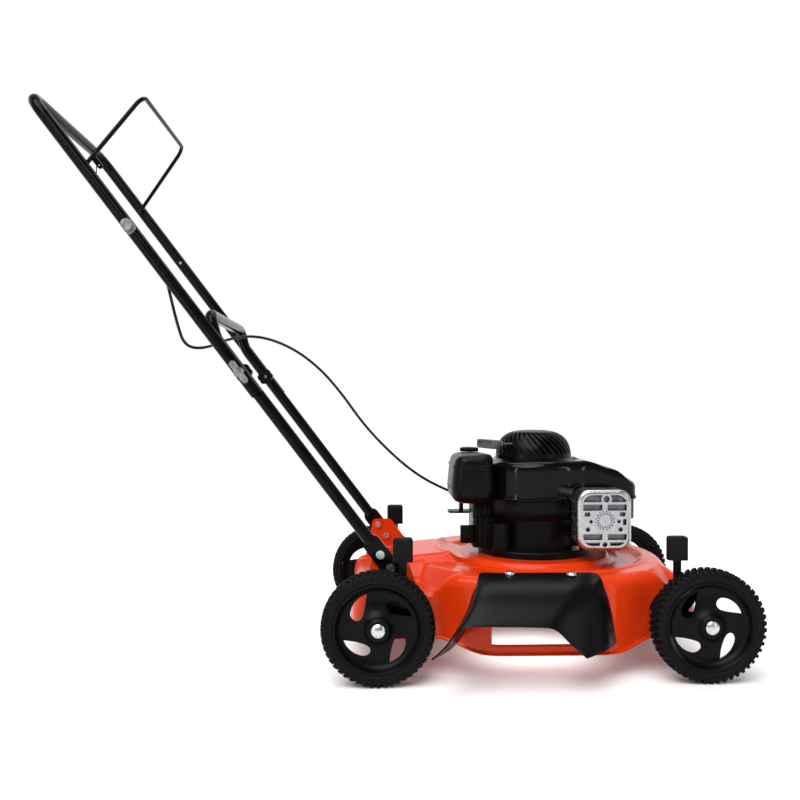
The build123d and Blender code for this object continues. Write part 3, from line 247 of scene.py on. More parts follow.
# ---------------------------------------------------------------- mesh helpers
def built_mesh(name, verts, faces, finish, sharp, merge=True):
    """A smooth mesh with its faces turned outwards, and sharp edges past an angle in degrees."""
    mesh = bpy.data.meshes.new(name)
    mesh.from_pydata([tuple(v) for v in verts], [], faces)
    mesh.update()
    tidy = bmesh.new()
    tidy.from_mesh(mesh)
    if merge:
        bmesh.ops.remove_doubles(tidy, verts=tidy.verts, dist=1e-6)
    bmesh.ops.recalc_face_normals(tidy, faces=tidy.faces)
    tidy.to_mesh(mesh)
    tidy.free()
    mesh.shade_smooth()
    mesh.set_sharp_from_angle(angle=radians(sharp))
    mesh.materials.append(finish)
    return mesh


def piece(name, verts, faces, body, finish, nodes=(), sharp=35.0):
    """A mesh object in the row frame that rides on a body."""
    made = bpy.data.objects.new(name, built_mesh(name, verts, faces, finish, sharp))
    bpy.context.collection.objects.link(made)
    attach(made, body)
    if nodes:
        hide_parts(*nodes)
    return made


def grid_faces(rows, columns, closed, skip=lambda row, column: False):
    """Quads between neighbouring rows of points; closed joins the last column to the first."""
    faces = []
    for row in range(rows - 1):
        for column in range(columns if closed else columns - 1):
            if skip(row, column):
                continue
            after = (column + 1) % columns
            a = row * columns
            b = (row + 1) * columns
            faces.append((a + column, a + after, b + after, b + column))
    return faces


def smooth_step(value, low, high):
    t = min(max((value - low) / (high - low), 0.0), 1.0)
    return t * t * (3 - 2 * t)


def smooth_max(a, b, softness):
    """The larger of two values, rounded where they meet."""
    gap = max(softness - abs(a - b), 0.0) / softness
    return max(a, b) + gap * gap * softness * 0.25


def rounded_box(x, y, half_x, half_y, corner):
    """Signed distance to a rounded rectangle centred on the origin, negative inside."""
    dx = abs(x) - half_x + corner
    dy = abs(y) - half_y + corner
    outside = sqrt(max(dx, 0.0) ** 2 + max(dy, 0.0) ** 2)
    return outside + min(max(dx, dy), 0.0) - corner


def reach(distance, centre, angle, limit=0.5):
    """How far a ray from the centre goes before the signed distance turns positive."""
    low = 0.0
    high = limit
    for _ in range(40):
        middle = (low + high) / 2
        if distance(centre[0] + middle * cos(angle), centre[1] + middle * sin(angle)) < 0:
            low = middle
        else:
            high = middle
    return low


def add_modifier(made, kind, **settings):
    modifier = made.modifiers.new(kind.lower(), kind)
    for key, value in settings.items():
        setattr(modifier, key, value)
    return modifier


def loft(name, rings, body, finish, nodes=(), closed=True, caps=(False, False), sharp=35.0):
    """A skin over rings of points that all have the same count."""
    columns = len(rings[0])
    verts = [point for ring in rings for point in ring]
    faces = grid_faces(len(rings), columns, closed)
    if caps[0]:
        faces.append(tuple(range(columns))[::-1])
    if caps[1]:
        first = (len(rings) - 1) * columns
        faces.append(tuple(range(first, first + columns)))
    return piece(name, verts, faces, body, finish, nodes, sharp)


def rounded_rectangle(half_x, half_y, corner, steps=6):
    """Points round a rounded rectangle centred on the origin, counter-clockwise."""
    points = []
    for turn, (sx, sy) in enumerate(((1, 1), (-1, 1), (-1, -1), (1, -1))):
        for step in range(steps + 1):
            angle = (turn + step / steps) * pi / 2
            points.append((sx * (half_x - corner) + corner * cos(angle),
                           sy * (half_y - corner) + corner * sin(angle)))
    return points


def spline(points, count):
    """Points along a clamped quadratic B-spline through a short list of control points."""
    last = len(points) - 2
    made = []
    for step in range(count):
        t = step / (count - 1) * last
        span = min(int(t), last - 1)
        f = t - span
        a, b, c = (Vector(p) for p in points[span:span + 3])
        start = a if span == 0 else (a + b) / 2
        end = c if span == last - 1 else (b + c) / 2
        made.append(start * (1 - f) ** 2 + b * 2 * f * (1 - f) + end * f * f)
    return made


def table_value(table, x):
    """Smooth height from a short list of (place, height) pairs."""
    if x <= table[0][0]:
        return table[0][1]
    for (x0, z0), (x1, z1) in zip(table, table[1:]):
        if x <= x1:
            return z0 + (z1 - z0) * smooth_step(x, x0, x1)
    return table[-1][1]


# ---------------------------------------------------------------- stop cable
CABLE_RADIUS = 0.00275
CABLE_ROUTE = [
    (-0.404, -0.1983, 0.690),
    (-0.3935, -0.1953, 0.642),
    (-0.381, -0.185, 0.601),
    (-0.350, -0.150, 0.600),
    (-0.320, -0.090, 0.622),
    (-0.270, -0.030, 0.634),
    (-0.205, 0.005, 0.613),
    (-0.147, 0.030, 0.570),
    (-0.100, 0.040, 0.515),
    (-0.058, 0.046, 0.455),
    (-0.010, 0.050, 0.402),
    (0.045, 0.054, 0.353),
    (0.098, 0.058, 0.320),
    (0.150, 0.062, 0.298),
]


def route_line(route):
    """Close points along the smooth curve that a cable's route controls."""
    data = bpy.data.curves.new("route", "CURVE")
    data.dimensions = "3D"
    data.resolution_u = 10
    line = data.splines.new("NURBS")
    line.points.add(len(route) - 1)
    for control, (x, y, z) in zip(line.points, route):
        control.co = (x, MID_Y + y, z, 1)
    line.order_u = 3
    line.use_endpoint_u = True
    holder = bpy.data.objects.new("route", data)
    bpy.context.collection.objects.link(holder)
    bpy.context.view_layer.update()
    mesh = bpy.data.meshes.new_from_object(holder)
    points = [v.co.copy() for v in mesh.vertices]
    bpy.data.objects.remove(holder)
    bpy.data.curves.remove(data)
    bpy.data.meshes.remove(mesh)
    return points


def tube_rings(line, radius, sides=14):
    """Circles square to a line of points, carried along it without twist."""
    rings = []
    side = (line[1] - line[0]).cross(Vector((0, 0, 1)) if abs((line[1] - line[0]).normalized().z) < 0.9
                                     else Vector((1, 0, 0))).normalized()
    for index, centre in enumerate(line):
        ahead = line[min(index + 1, len(line) - 1)] - line[max(index - 1, 0)]
        ahead.normalize()
        side = (side - ahead * side.dot(ahead)).normalized()
        up = ahead.cross(side)
        turns = [2 * pi * step / sides for step in range(sides)]
        rings.append([centre + (side * cos(turn) + up * sin(turn)) * radius for turn in turns])
    return rings


cable_line = route_line(CABLE_ROUTE)
cable_rings = tube_rings(cable_line, CABLE_RADIUS)
cable_sides = len(cable_rings[0])
cable_mesh = bpy.data.meshes.new("stop_cable")
cable_faces = grid_faces(len(cable_rings), cable_sides, True)
cable_faces.append(tuple(range(cable_sides)))
cable_faces.append(tuple(range((len(cable_rings) - 1) * cable_sides, len(cable_rings) * cable_sides))[::-1])
cable_mesh.from_pydata([tuple(p) for ring in cable_rings for p in ring], [], cable_faces)
cable_mesh.update()
cable_mesh.shade_smooth()
cable_mesh.materials.append(CABLE)
stop_cable = bpy.data.objects.new("stop_cable", cable_mesh)
bpy.context.collection.objects.link(stop_cable)
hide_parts("cable_free")
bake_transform(stop_cable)


# ---------------------------------------------------------------- deck
WALL_Y = 0.256               # flat stretch of the side walls, beside the blade
SLANT = (0.5, 0.866)         # the way the slanting walls face, 60 degrees off the mower's length
DIAGONALS = (0.2815, 0.2675)  # how far they lie from the engine's axis, rear and front
BULGE_LIMIT_R = 0.288
BULGE_CORNER = 0.010
PLATE_BLEND = 0.012          # softness where the bulge and the long plate meet
DECK_HALF_X = 0.3265
DECK_MIDDLE_X = 0.2515
DECK_SIDE_Y = 0.205
DECK_CORNER = 0.060
SHELF = 0.150
DRUM_TOP = 0.185
DRUM_FOOT_R = 0.276          # the raised drum's slope runs in from here
DRUM_SLOPE = 0.032
DRUM_SQUASH = 0.88           # the drum is longer across the mower
RING_R = 0.186               # the dished ring's outer edge, at its rear
RING_FRONT = 0.020           # how much further out it lies at the front
RING_TURN = 0.35             # radians from straight ahead to its widest place, on the discharge side
RING_SINK = 0.0065
BEAD_OFFSET = 0.016          # from the ring's edge to the raised bead outside it
BEAD_HALF_WIDTH = 0.008
BEAD_HEIGHT = 0.0030
PAD_TOP = 0.190
PAD_R = 0.150
DECK_EDGE = 0.022            # rounding between the top and the walls
DECK_ANGLES = 432
SHEET = 0.0025
SKIRT_LOW = 0.050
SKIRT_RISE = 0.018
FIRST_STOP = 0.058
STOP_STEP = 0.004
INNER_STOPS = 38
OUTER_STEPS = 26
SHOULDER_STEPS = 8
WALL_SHARES = (0.035, 0.10, 0.20, 0.30, 0.40, 0.50, 0.60, 0.70, 0.78, 0.85, 0.90, 0.95)
OPENING_ROWS = 9
# (x, z) pairs along the middle of the hump behind the engine and of the nose in front
HUMP = ((-0.058, 0.120), (-0.036, 0.158), (0.024, 0.196), (0.110, 0.202), (0.200, 0.184))
NOSE = ((0.440, 0.150), (0.476, 0.181), (0.522, 0.181), (0.582, 0.148))
OPENING_X = (0.174, 0.374)


def deck_outline(x, y):
    """Signed distance to the deck's outline: a faceted bulge over the blade on a long plate."""
    slant = SLANT[0] * abs(x - ENGINE_X) + SLANT[1] * abs(y) - DIAGONALS[x > ENGINE_X]
    facets = smooth_max(abs(y) - WALL_Y, slant, BULGE_CORNER)
    bulge = max(facets, sqrt((x - ENGINE_X) ** 2 + y ** 2) - BULGE_LIMIT_R)
    plate = rounded_box(x - DECK_MIDDLE_X, y, DECK_HALF_X, DECK_SIDE_Y, DECK_CORNER)
    return -smooth_max(-bulge, -plate, PLATE_BLEND)


def deck_top(x, y):
    """Height of the pressed top at a place."""
    radius = sqrt((x - ENGINE_X) ** 2 + y ** 2)
    angle = atan2(y, x - ENGINE_X)
    drum_radius = sqrt((x - ENGINE_X) ** 2 + (DRUM_SQUASH * y) ** 2)
    height = SHELF + (DRUM_TOP - SHELF) * smooth_step(DRUM_FOOT_R - drum_radius, 0.0, DRUM_SLOPE)
    hump = SHELF + (table_value(HUMP, x) - SHELF) * (1 - smooth_step(abs(y), 0.080, 0.150))
    if x < 0.2:
        height = smooth_max(height, hump, 0.010)
    nose = SHELF + (table_value(NOSE, x) - SHELF) * (1 - smooth_step(abs(y), 0.120, 0.168))
    if x > 0.44:
        height = smooth_max(height, nose, 0.008)
    # a dished ring round the engine, wider towards the front, with a raised bead outside it
    rim = RING_R + RING_FRONT * smooth_step(cos(angle + RING_TURN), 0.2, 0.95)
    height -= RING_SINK * smooth_step(rim + 0.012 - radius, 0.0, 0.016)
    height += BEAD_HEIGHT * max(0.0, 1 - ((radius - rim - BEAD_OFFSET) / BEAD_HALF_WIDTH) ** 2) ** 2
    pad = smooth_step(PAD_R + 0.010 - radius, 0.0, 0.010)
    return height + (PAD_TOP - height) * pad


def skirt_z(x):
    """Height of the skirt's lip, which rises towards both pairs of wheels."""
    rise = (1 - smooth_step(x, 0.085, 0.165)) + smooth_step(x, 0.405, 0.485)
    return SKIRT_LOW + SKIRT_RISE * rise


def deck_column(angle):
    """The deck's section from the engine's hole outwards, then down to the skirt's lip."""
    edge = reach(deck_outline, (ENGINE_X, 0.0), angle)
    flat_end = edge - DECK_EDGE
    column = []

    def place(radius, z):
        column.append(Vector((ENGINE_X + radius * cos(angle), MID_Y + radius * sin(angle), z)))

    def top(radius):
        return deck_top(ENGINE_X + radius * cos(angle), radius * sin(angle))

    inner_stops = [FIRST_STOP + STOP_STEP * step for step in range(INNER_STOPS)]
    for radius in inner_stops:
        place(radius, top(radius))
    outer_start = inner_stops[-1] + STOP_STEP
    for step in range(OUTER_STEPS + 1):
        radius = outer_start + (flat_end - outer_start) * step / OUTER_STEPS
        place(radius, top(radius))
    shoulder = top(flat_end)
    for step in range(1, SHOULDER_STEPS + 1):
        turn = step / SHOULDER_STEPS * pi / 2
        place(flat_end + DECK_EDGE * sin(turn), shoulder - DECK_EDGE * (1 - cos(turn)))
    wall_top = shoulder - DECK_EDGE
    low = skirt_z(ENGINE_X + edge * cos(angle))
    for share in WALL_SHARES:
        place(edge + 0.001 * sin(share * pi), wall_top + (low - wall_top) * share)
    place(edge + 0.0008, low + 0.0022)
    place(edge + 0.0025, low + 0.0006)
    place(edge + 0.0048, low)
    return column


OPENING_TOP_ROW = INNER_STOPS + OUTER_STEPS + 1 + SHOULDER_STEPS  # first wall row, level with its top
OPENING_LOW_ROW = OPENING_TOP_ROW + OPENING_ROWS
deck_columns = [deck_column(2 * pi * step / DECK_ANGLES) for step in range(DECK_ANGLES)]
deck_rings = [list(ring) for ring in zip(*deck_columns)]


def in_opening(row, column):
    if not OPENING_TOP_ROW <= row < OPENING_LOW_ROW:
        return False
    middle = (deck_rings[row][column] + deck_rings[row][(column + 1) % DECK_ANGLES]) / 2
    return middle.y < 0 and OPENING_X[0] < middle.x < OPENING_X[1]


deck_shell = piece(
    "deck_shell",
    [point for ring in deck_rings for point in ring],
    grid_faces(len(deck_rings), DECK_ANGLES, True, in_opening),
    "chassis",
    RED,
    ["deck"],
    sharp=50,
)
add_modifier(deck_shell, "SOLIDIFY", thickness=SHEET, offset=-1)


# ---------------------------------------------------------------- discharge chute
CHUTE_WALL = 0.003
CHUTE_LIP_Y = -0.330
CHUTE_AT_DECK = [(0.126, 0.080), (0.136, 0.130), (0.146, 0.166), (0.166, 0.188), (0.206, 0.188),
                 (0.262, 0.188), (0.322, 0.188), (0.366, 0.188), (0.388, 0.150), (0.402, 0.070)]
CHUTE_AT_LIP = [(0.062, 0.066), (0.082, 0.080), (0.108, 0.119), (0.150, 0.120), (0.195, 0.119),
                (0.240, 0.118), (0.276, 0.116), (0.302, 0.086), (0.330, 0.064)]
CHUTE_LAP = 0.036            # how far its top edge reaches in over the deck's shoulder
CHUTE_GAP = 0.0035           # between the deck's shoulder and the hood
CHUTE_BEND_Y = -0.296
CHUTE_COLUMNS = 97
CHUTE_ROWS = 30


def chute_ring(step, at_deck, at_lip):
    """One row of the hood, from its line on the deck (step 0) to its free lip (step 1)."""
    ring = []
    for (x0, z0, _), (x2, z2, _) in zip(at_deck, at_lip):
        over_top = smooth_step(z0, 0.168, 0.1870)
        wall_y = -0.1 - reach(deck_outline, (x0, -0.1), -pi / 2)
        inside = CHUTE_LAP * over_top
        # the hood lies on the deck's rounded shoulder
        slump = sqrt(DECK_EDGE ** 2 - max(DECK_EDGE - inside, 0.0) ** 2)
        shoulder = deck_top(x0, wall_y + max(inside, DECK_EDGE)) - DECK_EDGE + slump
        start_z = max(z0, shoulder + CHUTE_GAP) if inside else z0
        start = Vector((x0, wall_y - 0.0012 + inside, start_z))
        end = Vector((x2, CHUTE_LIP_Y, z2))
        bend = Vector((x0 + (x2 - x0) * 0.30, CHUTE_BEND_Y + 0.010 * over_top,
                       z0 + (z2 - z0) * (0.38 - 0.36 * over_top)))
        point = start * (1 - step) ** 2 + bend * 2 * step * (1 - step) + end * step ** 2
        ring.append(Vector((point.x, point.y + MID_Y, point.z)))
    return ring


def lift(points):
    """Flat (x, z) pairs as vectors."""
    return [(x, z, 0) for x, z in points]


deck_line = spline(lift(CHUTE_AT_DECK), CHUTE_COLUMNS)
lip_line = spline(lift(CHUTE_AT_LIP), CHUTE_COLUMNS)
chute_rings = [chute_ring(row / (CHUTE_ROWS - 1), deck_line, lip_line) for row in range(CHUTE_ROWS)]
chute = loft("chute_hood", chute_rings, "chassis", CHUTE_PLASTIC, ["discharge_chute"], closed=False, sharp=60)
add_modifier(chute, "SOLIDIFY", thickness=CHUTE_WALL, offset=-1)
add_modifier(chute, "BEVEL", width=0.0008, segments=2, limit_method="ANGLE", angle_limit=radians(50))


# ---------------------------------------------------------------- tyres
TYRE_R = 0.1015
WHEEL_Y = 0.263
TREAD_BLOCKS = 50
BLOCK_SHARE = 0.56           # of the pitch that a block takes up
BLOCK_TAPER = 0.22           # how much narrower a block is at its top
BLOCK_FOOT_R = 0.091
BLOCK_HEIGHT = 0.0105
CARCASS_TURNS = 160
CARCASS_SIDE = ((0.0803, 0.0180), (0.0812, 0.0196), (0.0835, 0.0203), (0.0843, 0.0209), (0.0852, 0.0209),
                (0.0860, 0.0204), (0.0895, 0.0208), (0.0930, 0.0203), (0.0952, 0.0185), (0.0966, 0.0155),
                (0.0971, 0.0110), (0.0972, 0.0050))
CENTRE_BLOCK = ((0.0966, -0.0042), (0.1013, -0.0037), (0.1015, 0.0), (0.1013, 0.0037), (0.0966, 0.0042))
EDGE_BLOCK = ((0.0966, 0.0112), (0.1012, 0.0117), (0.1004, 0.0176), (0.0975, 0.0214), (0.0915, 0.0219),
              (0.0908, 0.0202), (0.0950, 0.0180))
TREAD_ROWS = ((CENTRE_BLOCK, -0.0055, 0.0, 1), (CENTRE_BLOCK, 0.0055, 0.5, 1), (EDGE_BLOCK, 0.0, 0.5, -1),
              (EDGE_BLOCK, 0.0, 0.0, 1))


def on_wheel(radius, y, angle):
    return (radius * cos(angle), y, radius * sin(angle))


def tyre_mesh():
    """A knobbly tyre about the y axis, shared by the four wheels."""
    verts = []
    faces = []
    section = [(r, -y) for r, y in CARCASS_SIDE] + [(r, y) for r, y in reversed(CARCASS_SIDE)]
    for turn in range(CARCASS_TURNS):
        for radius, y in section:
            verts.append(on_wheel(radius, y, 2 * pi * turn / CARCASS_TURNS))
    count = len(section)
    for turn in range(CARCASS_TURNS):
        after = (turn + 1) % CARCASS_TURNS
        for place in range(count):
            following = (place + 1) % count
            faces.append((turn * count + place, turn * count + following, after * count + following,
                          after * count + place))
    pitch = 2 * pi / TREAD_BLOCKS
    for profile, shift, phase, side in TREAD_ROWS:
        for block in range(TREAD_BLOCKS):
            middle = (block + phase) * pitch
            first = len(verts)
            count = len(profile)
            for end in (-1, 1):
                for radius, y in profile:
                    narrower = BLOCK_TAPER * (radius - BLOCK_FOOT_R) / BLOCK_HEIGHT
                    half_angle = 0.5 * BLOCK_SHARE * pitch * (1 - narrower)
                    verts.append(on_wheel(radius, shift + side * y, middle + end * half_angle))
            faces.append(tuple(range(first, first + count)))
            faces.append(tuple(range(first + count, first + 2 * count))[::-1])
            for place in range(count):
                following = (place + 1) % count
                faces.append((first + following, first + place, first + count + place,
                              first + count + following))
    return built_mesh("tyre", verts, faces, RUBBER, 32, merge=False)


shared_tyre = tyre_mesh()
for end, axle_x in (("rear", REAR_AXLE_X), ("front", FRONT_AXLE_X)):
    for side_name, side in SIDES.items():
        corner = f"{end}_{side_name}"
        tyre = bpy.data.objects.new(f"tread_tyre_{corner}", shared_tyre)
        bpy.context.collection.objects.link(tyre)
        tyre.location = (axle_x, MID_Y + side * WHEEL_Y, TYRE_R)
        add_modifier(tyre, "BEVEL", width=0.0005, segments=1, limit_method="ANGLE", angle_limit=radians(40))
        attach(tyre, f"wheel_{corner}")
        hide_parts(f"tyre_{corner}")


# ---------------------------------------------------------------- blower housing
HOUSING_BASE = 0.266
SEAM_Z = 0.306               # the shroud ends here, over a narrower lower body
HOUSING_WALL = 0.0025
HOUSING_DRUM_R = 0.1115
HOUSING_BOX_X = 0.412
HOUSING_BOX_HALF = (0.081, 0.086)
HOUSING_BOX_CORNER = 0.026
HOUSING_BLEND = 0.030        # softness where the drum and the box meet
HOUSING_ROUNDING = 0.016
HOUSING_START_R = 0.030
HOUSING_TOP_STEPS = 18
HOUSING_EDGE_STEPS = 7
RECOIL_STEP = 0.004          # a shallow step runs round the recoil cover
FRONT_CROWN = 0.006
HOUSING_CREST = ((0.184, 0.372), (0.230, 0.384), (0.298, 0.3865), (0.385, 0.3860), (0.440, 0.372),
                 (0.478, 0.350), (0.494, 0.328))
HOUSING_ANGLES = 240
HOUSING_CENTRE = (0.340, 0.0)
SEAM_PROFILE = ((0.0002, 0.0062), (0.0016, 0.0052), (0.0020, 0.0030), (0.0020, 0.0), (0.0004, -0.0012),
                (-0.0020, -0.0014), (-0.0030, -0.0030), (-0.0032, -0.0200), (-0.0032, HOUSING_BASE - SEAM_Z))


def housing_distance(x, y):
    """Signed distance to the housing's outline: a drum round the flywheel and a box over the cylinder."""
    drum = sqrt((x - ENGINE_X) ** 2 + y ** 2) - HOUSING_DRUM_R
    box = rounded_box(x - HOUSING_BOX_X, y, *HOUSING_BOX_HALF, HOUSING_BOX_CORNER)
    return -smooth_max(-drum, -box, HOUSING_BLEND)


def housing_column(angle):
    """The shroud's section from its middle outwards, then down past the seam to its foot."""
    edge = reach(housing_distance, HOUSING_CENTRE, angle)
    flat_end = edge - HOUSING_ROUNDING
    column = []

    def place(radius, z):
        x = HOUSING_CENTRE[0] + radius * cos(angle)
        column.append(Vector((x, MID_Y + radius * sin(angle), z)))

    def crest(radius):
        x = HOUSING_CENTRE[0] + radius * cos(angle)
        y = radius * sin(angle)
        step = RECOIL_STEP * smooth_step(sqrt((x - ENGINE_X) ** 2 + y ** 2), 0.084, 0.090)
        crown = FRONT_CROWN * smooth_step(x, 0.40, 0.48) * (y / 0.09) ** 2
        return table_value(HOUSING_CREST, x) - step - crown

    for step in range(HOUSING_TOP_STEPS + 1):
        radius = HOUSING_START_R + (flat_end - HOUSING_START_R) * step / HOUSING_TOP_STEPS
        place(radius, crest(radius))
    shoulder = crest(flat_end)
    for step in range(1, HOUSING_EDGE_STEPS + 1):
        turn = step / HOUSING_EDGE_STEPS * pi / 2
        place(flat_end + HOUSING_ROUNDING * sin(turn), shoulder - HOUSING_ROUNDING * (1 - cos(turn)))
    wall_top = shoulder - HOUSING_ROUNDING
    for share in (0.08, 0.2, 0.4, 0.6, 0.8, 0.92):
        place(edge, wall_top + (SEAM_Z + 0.006 - wall_top) * share)
    # stiffening lip round the seam, then the recessed wall under it
    for out, up in SEAM_PROFILE:
        place(edge + out, SEAM_Z + up)
    return column


housing_columns = [housing_column(2 * pi * step / HOUSING_ANGLES) for step in range(HOUSING_ANGLES)]
housing = piece(
    "blower_shroud",
    [point for ring in zip(*housing_columns) for point in ring],
    grid_faces(len(housing_columns[0]), HOUSING_ANGLES, True),
    "chassis",
    GLOSS_PLASTIC,
    ["blower_housing"],
    sharp=40,
)
housing.data.materials.append(CAST_BLACK)
for polygon in housing.data.polygons:
    polygon.material_index = int(polygon.center.z < SEAM_Z - 0.001)
add_modifier(housing, "SOLIDIFY", thickness=HOUSING_WALL, offset=-1)


# ---------------------------------------------------------------- recoil cover
DOME_SECTION = ((0.0780, 0.3825), (0.0778, 0.390), (0.0762, 0.402), (0.0720, 0.4145), (0.0640, 0.4260),
                (0.0520, 0.4340), (0.0385, 0.4384), (0.0240, 0.4400))
SLOTS = 34
SLOT_TWIST = 0.80            # how far a slot leans round the dome from its foot to its top
SLOT_DEPTH = 0.0050
SLAT_STEPS = ((0.0, 0), (0.17, 0), (0.34, 0), (0.50, 0), (0.54, 1), (0.68, 1), (0.82, 1), (0.96, 1))

dome_line = [p.xy for p in spline([(r, z, 0) for r, z in DOME_SECTION], 57)]
dome_rings = []
for index, (radius, z) in enumerate(dome_line):
    share = index / (len(dome_line) - 1)
    window = smooth_step(share, 0.14, 0.17) * (1 - smooth_step(share, 0.82, 0.85))
    ring = []
    for slot_index in range(SLOTS):
        for across, sunk in SLAT_STEPS:
            angle = 2 * pi * (slot_index + across) / SLOTS - SLOT_TWIST * share
            sink = SLOT_DEPTH * window * sunk
            ring.append(Vector((ENGINE_X + (radius - sink) * cos(angle),
                                MID_Y + (radius - sink) * sin(angle), z - 0.7 * sink)))
    dome_rings.append(ring)
loft("recoil_dome", dome_rings, "chassis", SATIN_PLASTIC, ["recoil_cover"], caps=(False, True), sharp=38)


# ---------------------------------------------------------------- starter grip
GRIP_MIDDLE = Vector((0.199, MID_Y - 0.046, 0.414))
GRIP_TURN = radians(24)      # the bar hangs askew on its rope


def grip_ring(ahead, half_y, half_z, corner, share):
    """A slice square to the bar; share is how much of the bar's turn it has."""
    ring = []
    for y, z in rounded_rectangle(half_y, half_z, corner, 5):
        turn = GRIP_TURN * share
        offset = Vector((ahead * cos(turn) - y * sin(turn), ahead * sin(turn) + y * cos(turn), z))
        ring.append(GRIP_MIDDLE + offset)
    return ring


# how far ahead of the middle, half width, half height, corner, and share of the turn
GRIP_SLICES = (
    (-0.0048, 0.0270, 0.0042, 0.0022, 1.0),
    (-0.0060, 0.0280, 0.0052, 0.0028, 1.0),
    (-0.0086, 0.0288, 0.0058, 0.0032, 1.0),
    (-0.0088, 0.0318, 0.0086, 0.0045, 1.0),
    (-0.0072, 0.0330, 0.0090, 0.0050, 1.0),
    (-0.0010, 0.0328, 0.0088, 0.0050, 1.0),
    (0.0055, 0.0312, 0.0086, 0.0050, 1.0),
    (0.0100, 0.0270, 0.0080, 0.0050, 0.95),
    (0.0140, 0.0170, 0.0074, 0.0050, 0.75),
    (0.0190, 0.0100, 0.0066, 0.0048, 0.40),
    (0.0270, 0.0066, 0.0058, 0.0045, 0.10),
    (0.0290, 0.0050, 0.0044, 0.0036, 0.0),
)
grip_rings = [grip_ring(*slice_sizes) for slice_sizes in GRIP_SLICES]
loft("starter_handle", grip_rings, "starter_grip", GREY_PLASTIC, ["starter_grip"], caps=(True, True))


# ---------------------------------------------------------------- fuel tank
TANK_X = (0.1200, 0.2040)
TANK_Y = (-0.1050, 0.0370)
TANK_CORNER = 0.024
TANK_SHIFT = 0.6             # a shorter slice moves forward by this share of what it loses
SHROUD_R = 0.1125            # the tank keeps this far from the engine's axis


def tank_ring(level, grow_rear, grow_side):
    """A slice through the tank; its front is hollowed to sit round the shroud."""
    ring = []
    middle_x = (TANK_X[0] + TANK_X[1]) / 2
    middle_y = (TANK_Y[0] + TANK_Y[1]) / 2
    half_x = (TANK_X[1] - TANK_X[0]) / 2
    half_y = (TANK_Y[1] - TANK_Y[0]) / 2
    for x, y in rounded_rectangle(half_x, half_y, TANK_CORNER, 12):
        out_x = middle_x + x * grow_rear + half_x * (1 - grow_rear) * TANK_SHIFT
        out_y = middle_y + y * grow_side
        radius = sqrt((out_x - ENGINE_X) ** 2 + out_y ** 2)
        if radius < SHROUD_R:
            out_x = ENGINE_X + (out_x - ENGINE_X) * SHROUD_R / radius
            out_y = out_y * SHROUD_R / radius
        ring.append(Vector((out_x, MID_Y + out_y, level)))
    return ring


# height, then how much of the full length and width the slice takes; the rear wall leans in going up
TANK_SLICES = (
    (0.2985, 0.30, 0.34), (0.2978, 0.56, 0.62), (0.2986, 0.74, 0.80), (0.3020, 0.88, 0.90),
    (0.3080, 0.955, 0.955), (0.3160, 0.990, 0.985), (0.3280, 1.000, 1.000), (0.3480, 0.975, 0.998),
    (0.3640, 0.950, 0.992), (0.3690, 0.944, 0.988), (0.3698, 0.962, 0.998), (0.3735, 0.958, 0.998),
    (0.3743, 0.930, 0.982), (0.3810, 0.908, 0.972), (0.3870, 0.870, 0.950), (0.3910, 0.800, 0.890),
    (0.3935, 0.700, 0.780), (0.3945, 0.500, 0.560), (0.3948, 0.250, 0.280),
)
tank_rings = [tank_ring(*slice_sizes) for slice_sizes in TANK_SLICES]
loft("fuel_tank_body", tank_rings, "chassis", SATIN_PLASTIC, ["fuel_tank"], caps=(True, True), sharp=45)


# ---------------------------------------------------------------- fuel cap
CAP_AXIS = Vector((0.166, MID_Y + 0.015, 0.0))
CAP_SECTION = ((0.0150, 0.3952), (0.0186, 0.3952), (0.0192, 0.3960), (0.0192, 0.4010), (0.0184, 0.4026),
               (0.0165, 0.4036), (0.0100, 0.4042), (0.0020, 0.4044))
CAP_RIBS = 24
CAP_STEPS = 6 * CAP_RIBS
GROOVE = 0.0007

cap_rings = []
for radius, z in CAP_SECTION:
    ring = []
    for step in range(CAP_STEPS):
        angle = 2 * pi * step / CAP_STEPS
        grooved = radius - GROOVE * smooth_step(radius, 0.0160, 0.0186) * (1 + cos(CAP_RIBS * angle))
        ring.append(CAP_AXIS + Vector((grooved * cos(angle), grooved * sin(angle), z)))
    cap_rings.append(ring)
loft("ribbed_fuel_cap", cap_rings, "fuel_cap", SATIN_PLASTIC, ["fuel_cap"], caps=(True, True), sharp=40)


# ---------------------------------------------------------------- side of the engine block
def block(name, low, high, corner):
    """A cast block with rounded upright edges and eased top and bottom edges."""
    middle_x = (low[0] + high[0]) / 2
    middle_y = (low[1] + high[1]) / 2
    half_x = (high[0] - low[0]) / 2
    half_y = (high[1] - low[1]) / 2
    rings = []
    for z, inset in ((low[2], 0.0015), (low[2] + 0.0006, 0.0004), (low[2] + 0.0015, 0.0),
                     (high[2] - 0.0015, 0.0), (high[2] - 0.0006, 0.0004), (high[2], 0.0015)):
        outline = rounded_rectangle(half_x - inset, half_y - inset, corner)
        rings.append([Vector((middle_x + x, MID_Y + middle_y + y, z)) for x, y in outline])
    loft(name, rings, "chassis", CAST_BLACK, caps=(True, True))


block("rear_casting", (0.167, -0.048, 0.2625), (0.212, 0.034, 0.2970), 0.010)
block("rear_bracket", (0.142, -0.046, 0.213), (0.170, -0.030, 0.248), 0.004)
for rib in range(4):
    rib_x = 0.172 + 0.011 * rib
    block(f"casting_rib_{rib}", (rib_x, -0.0515, 0.208), (rib_x + 0.0035, -0.046, 0.2955), 0.0016)


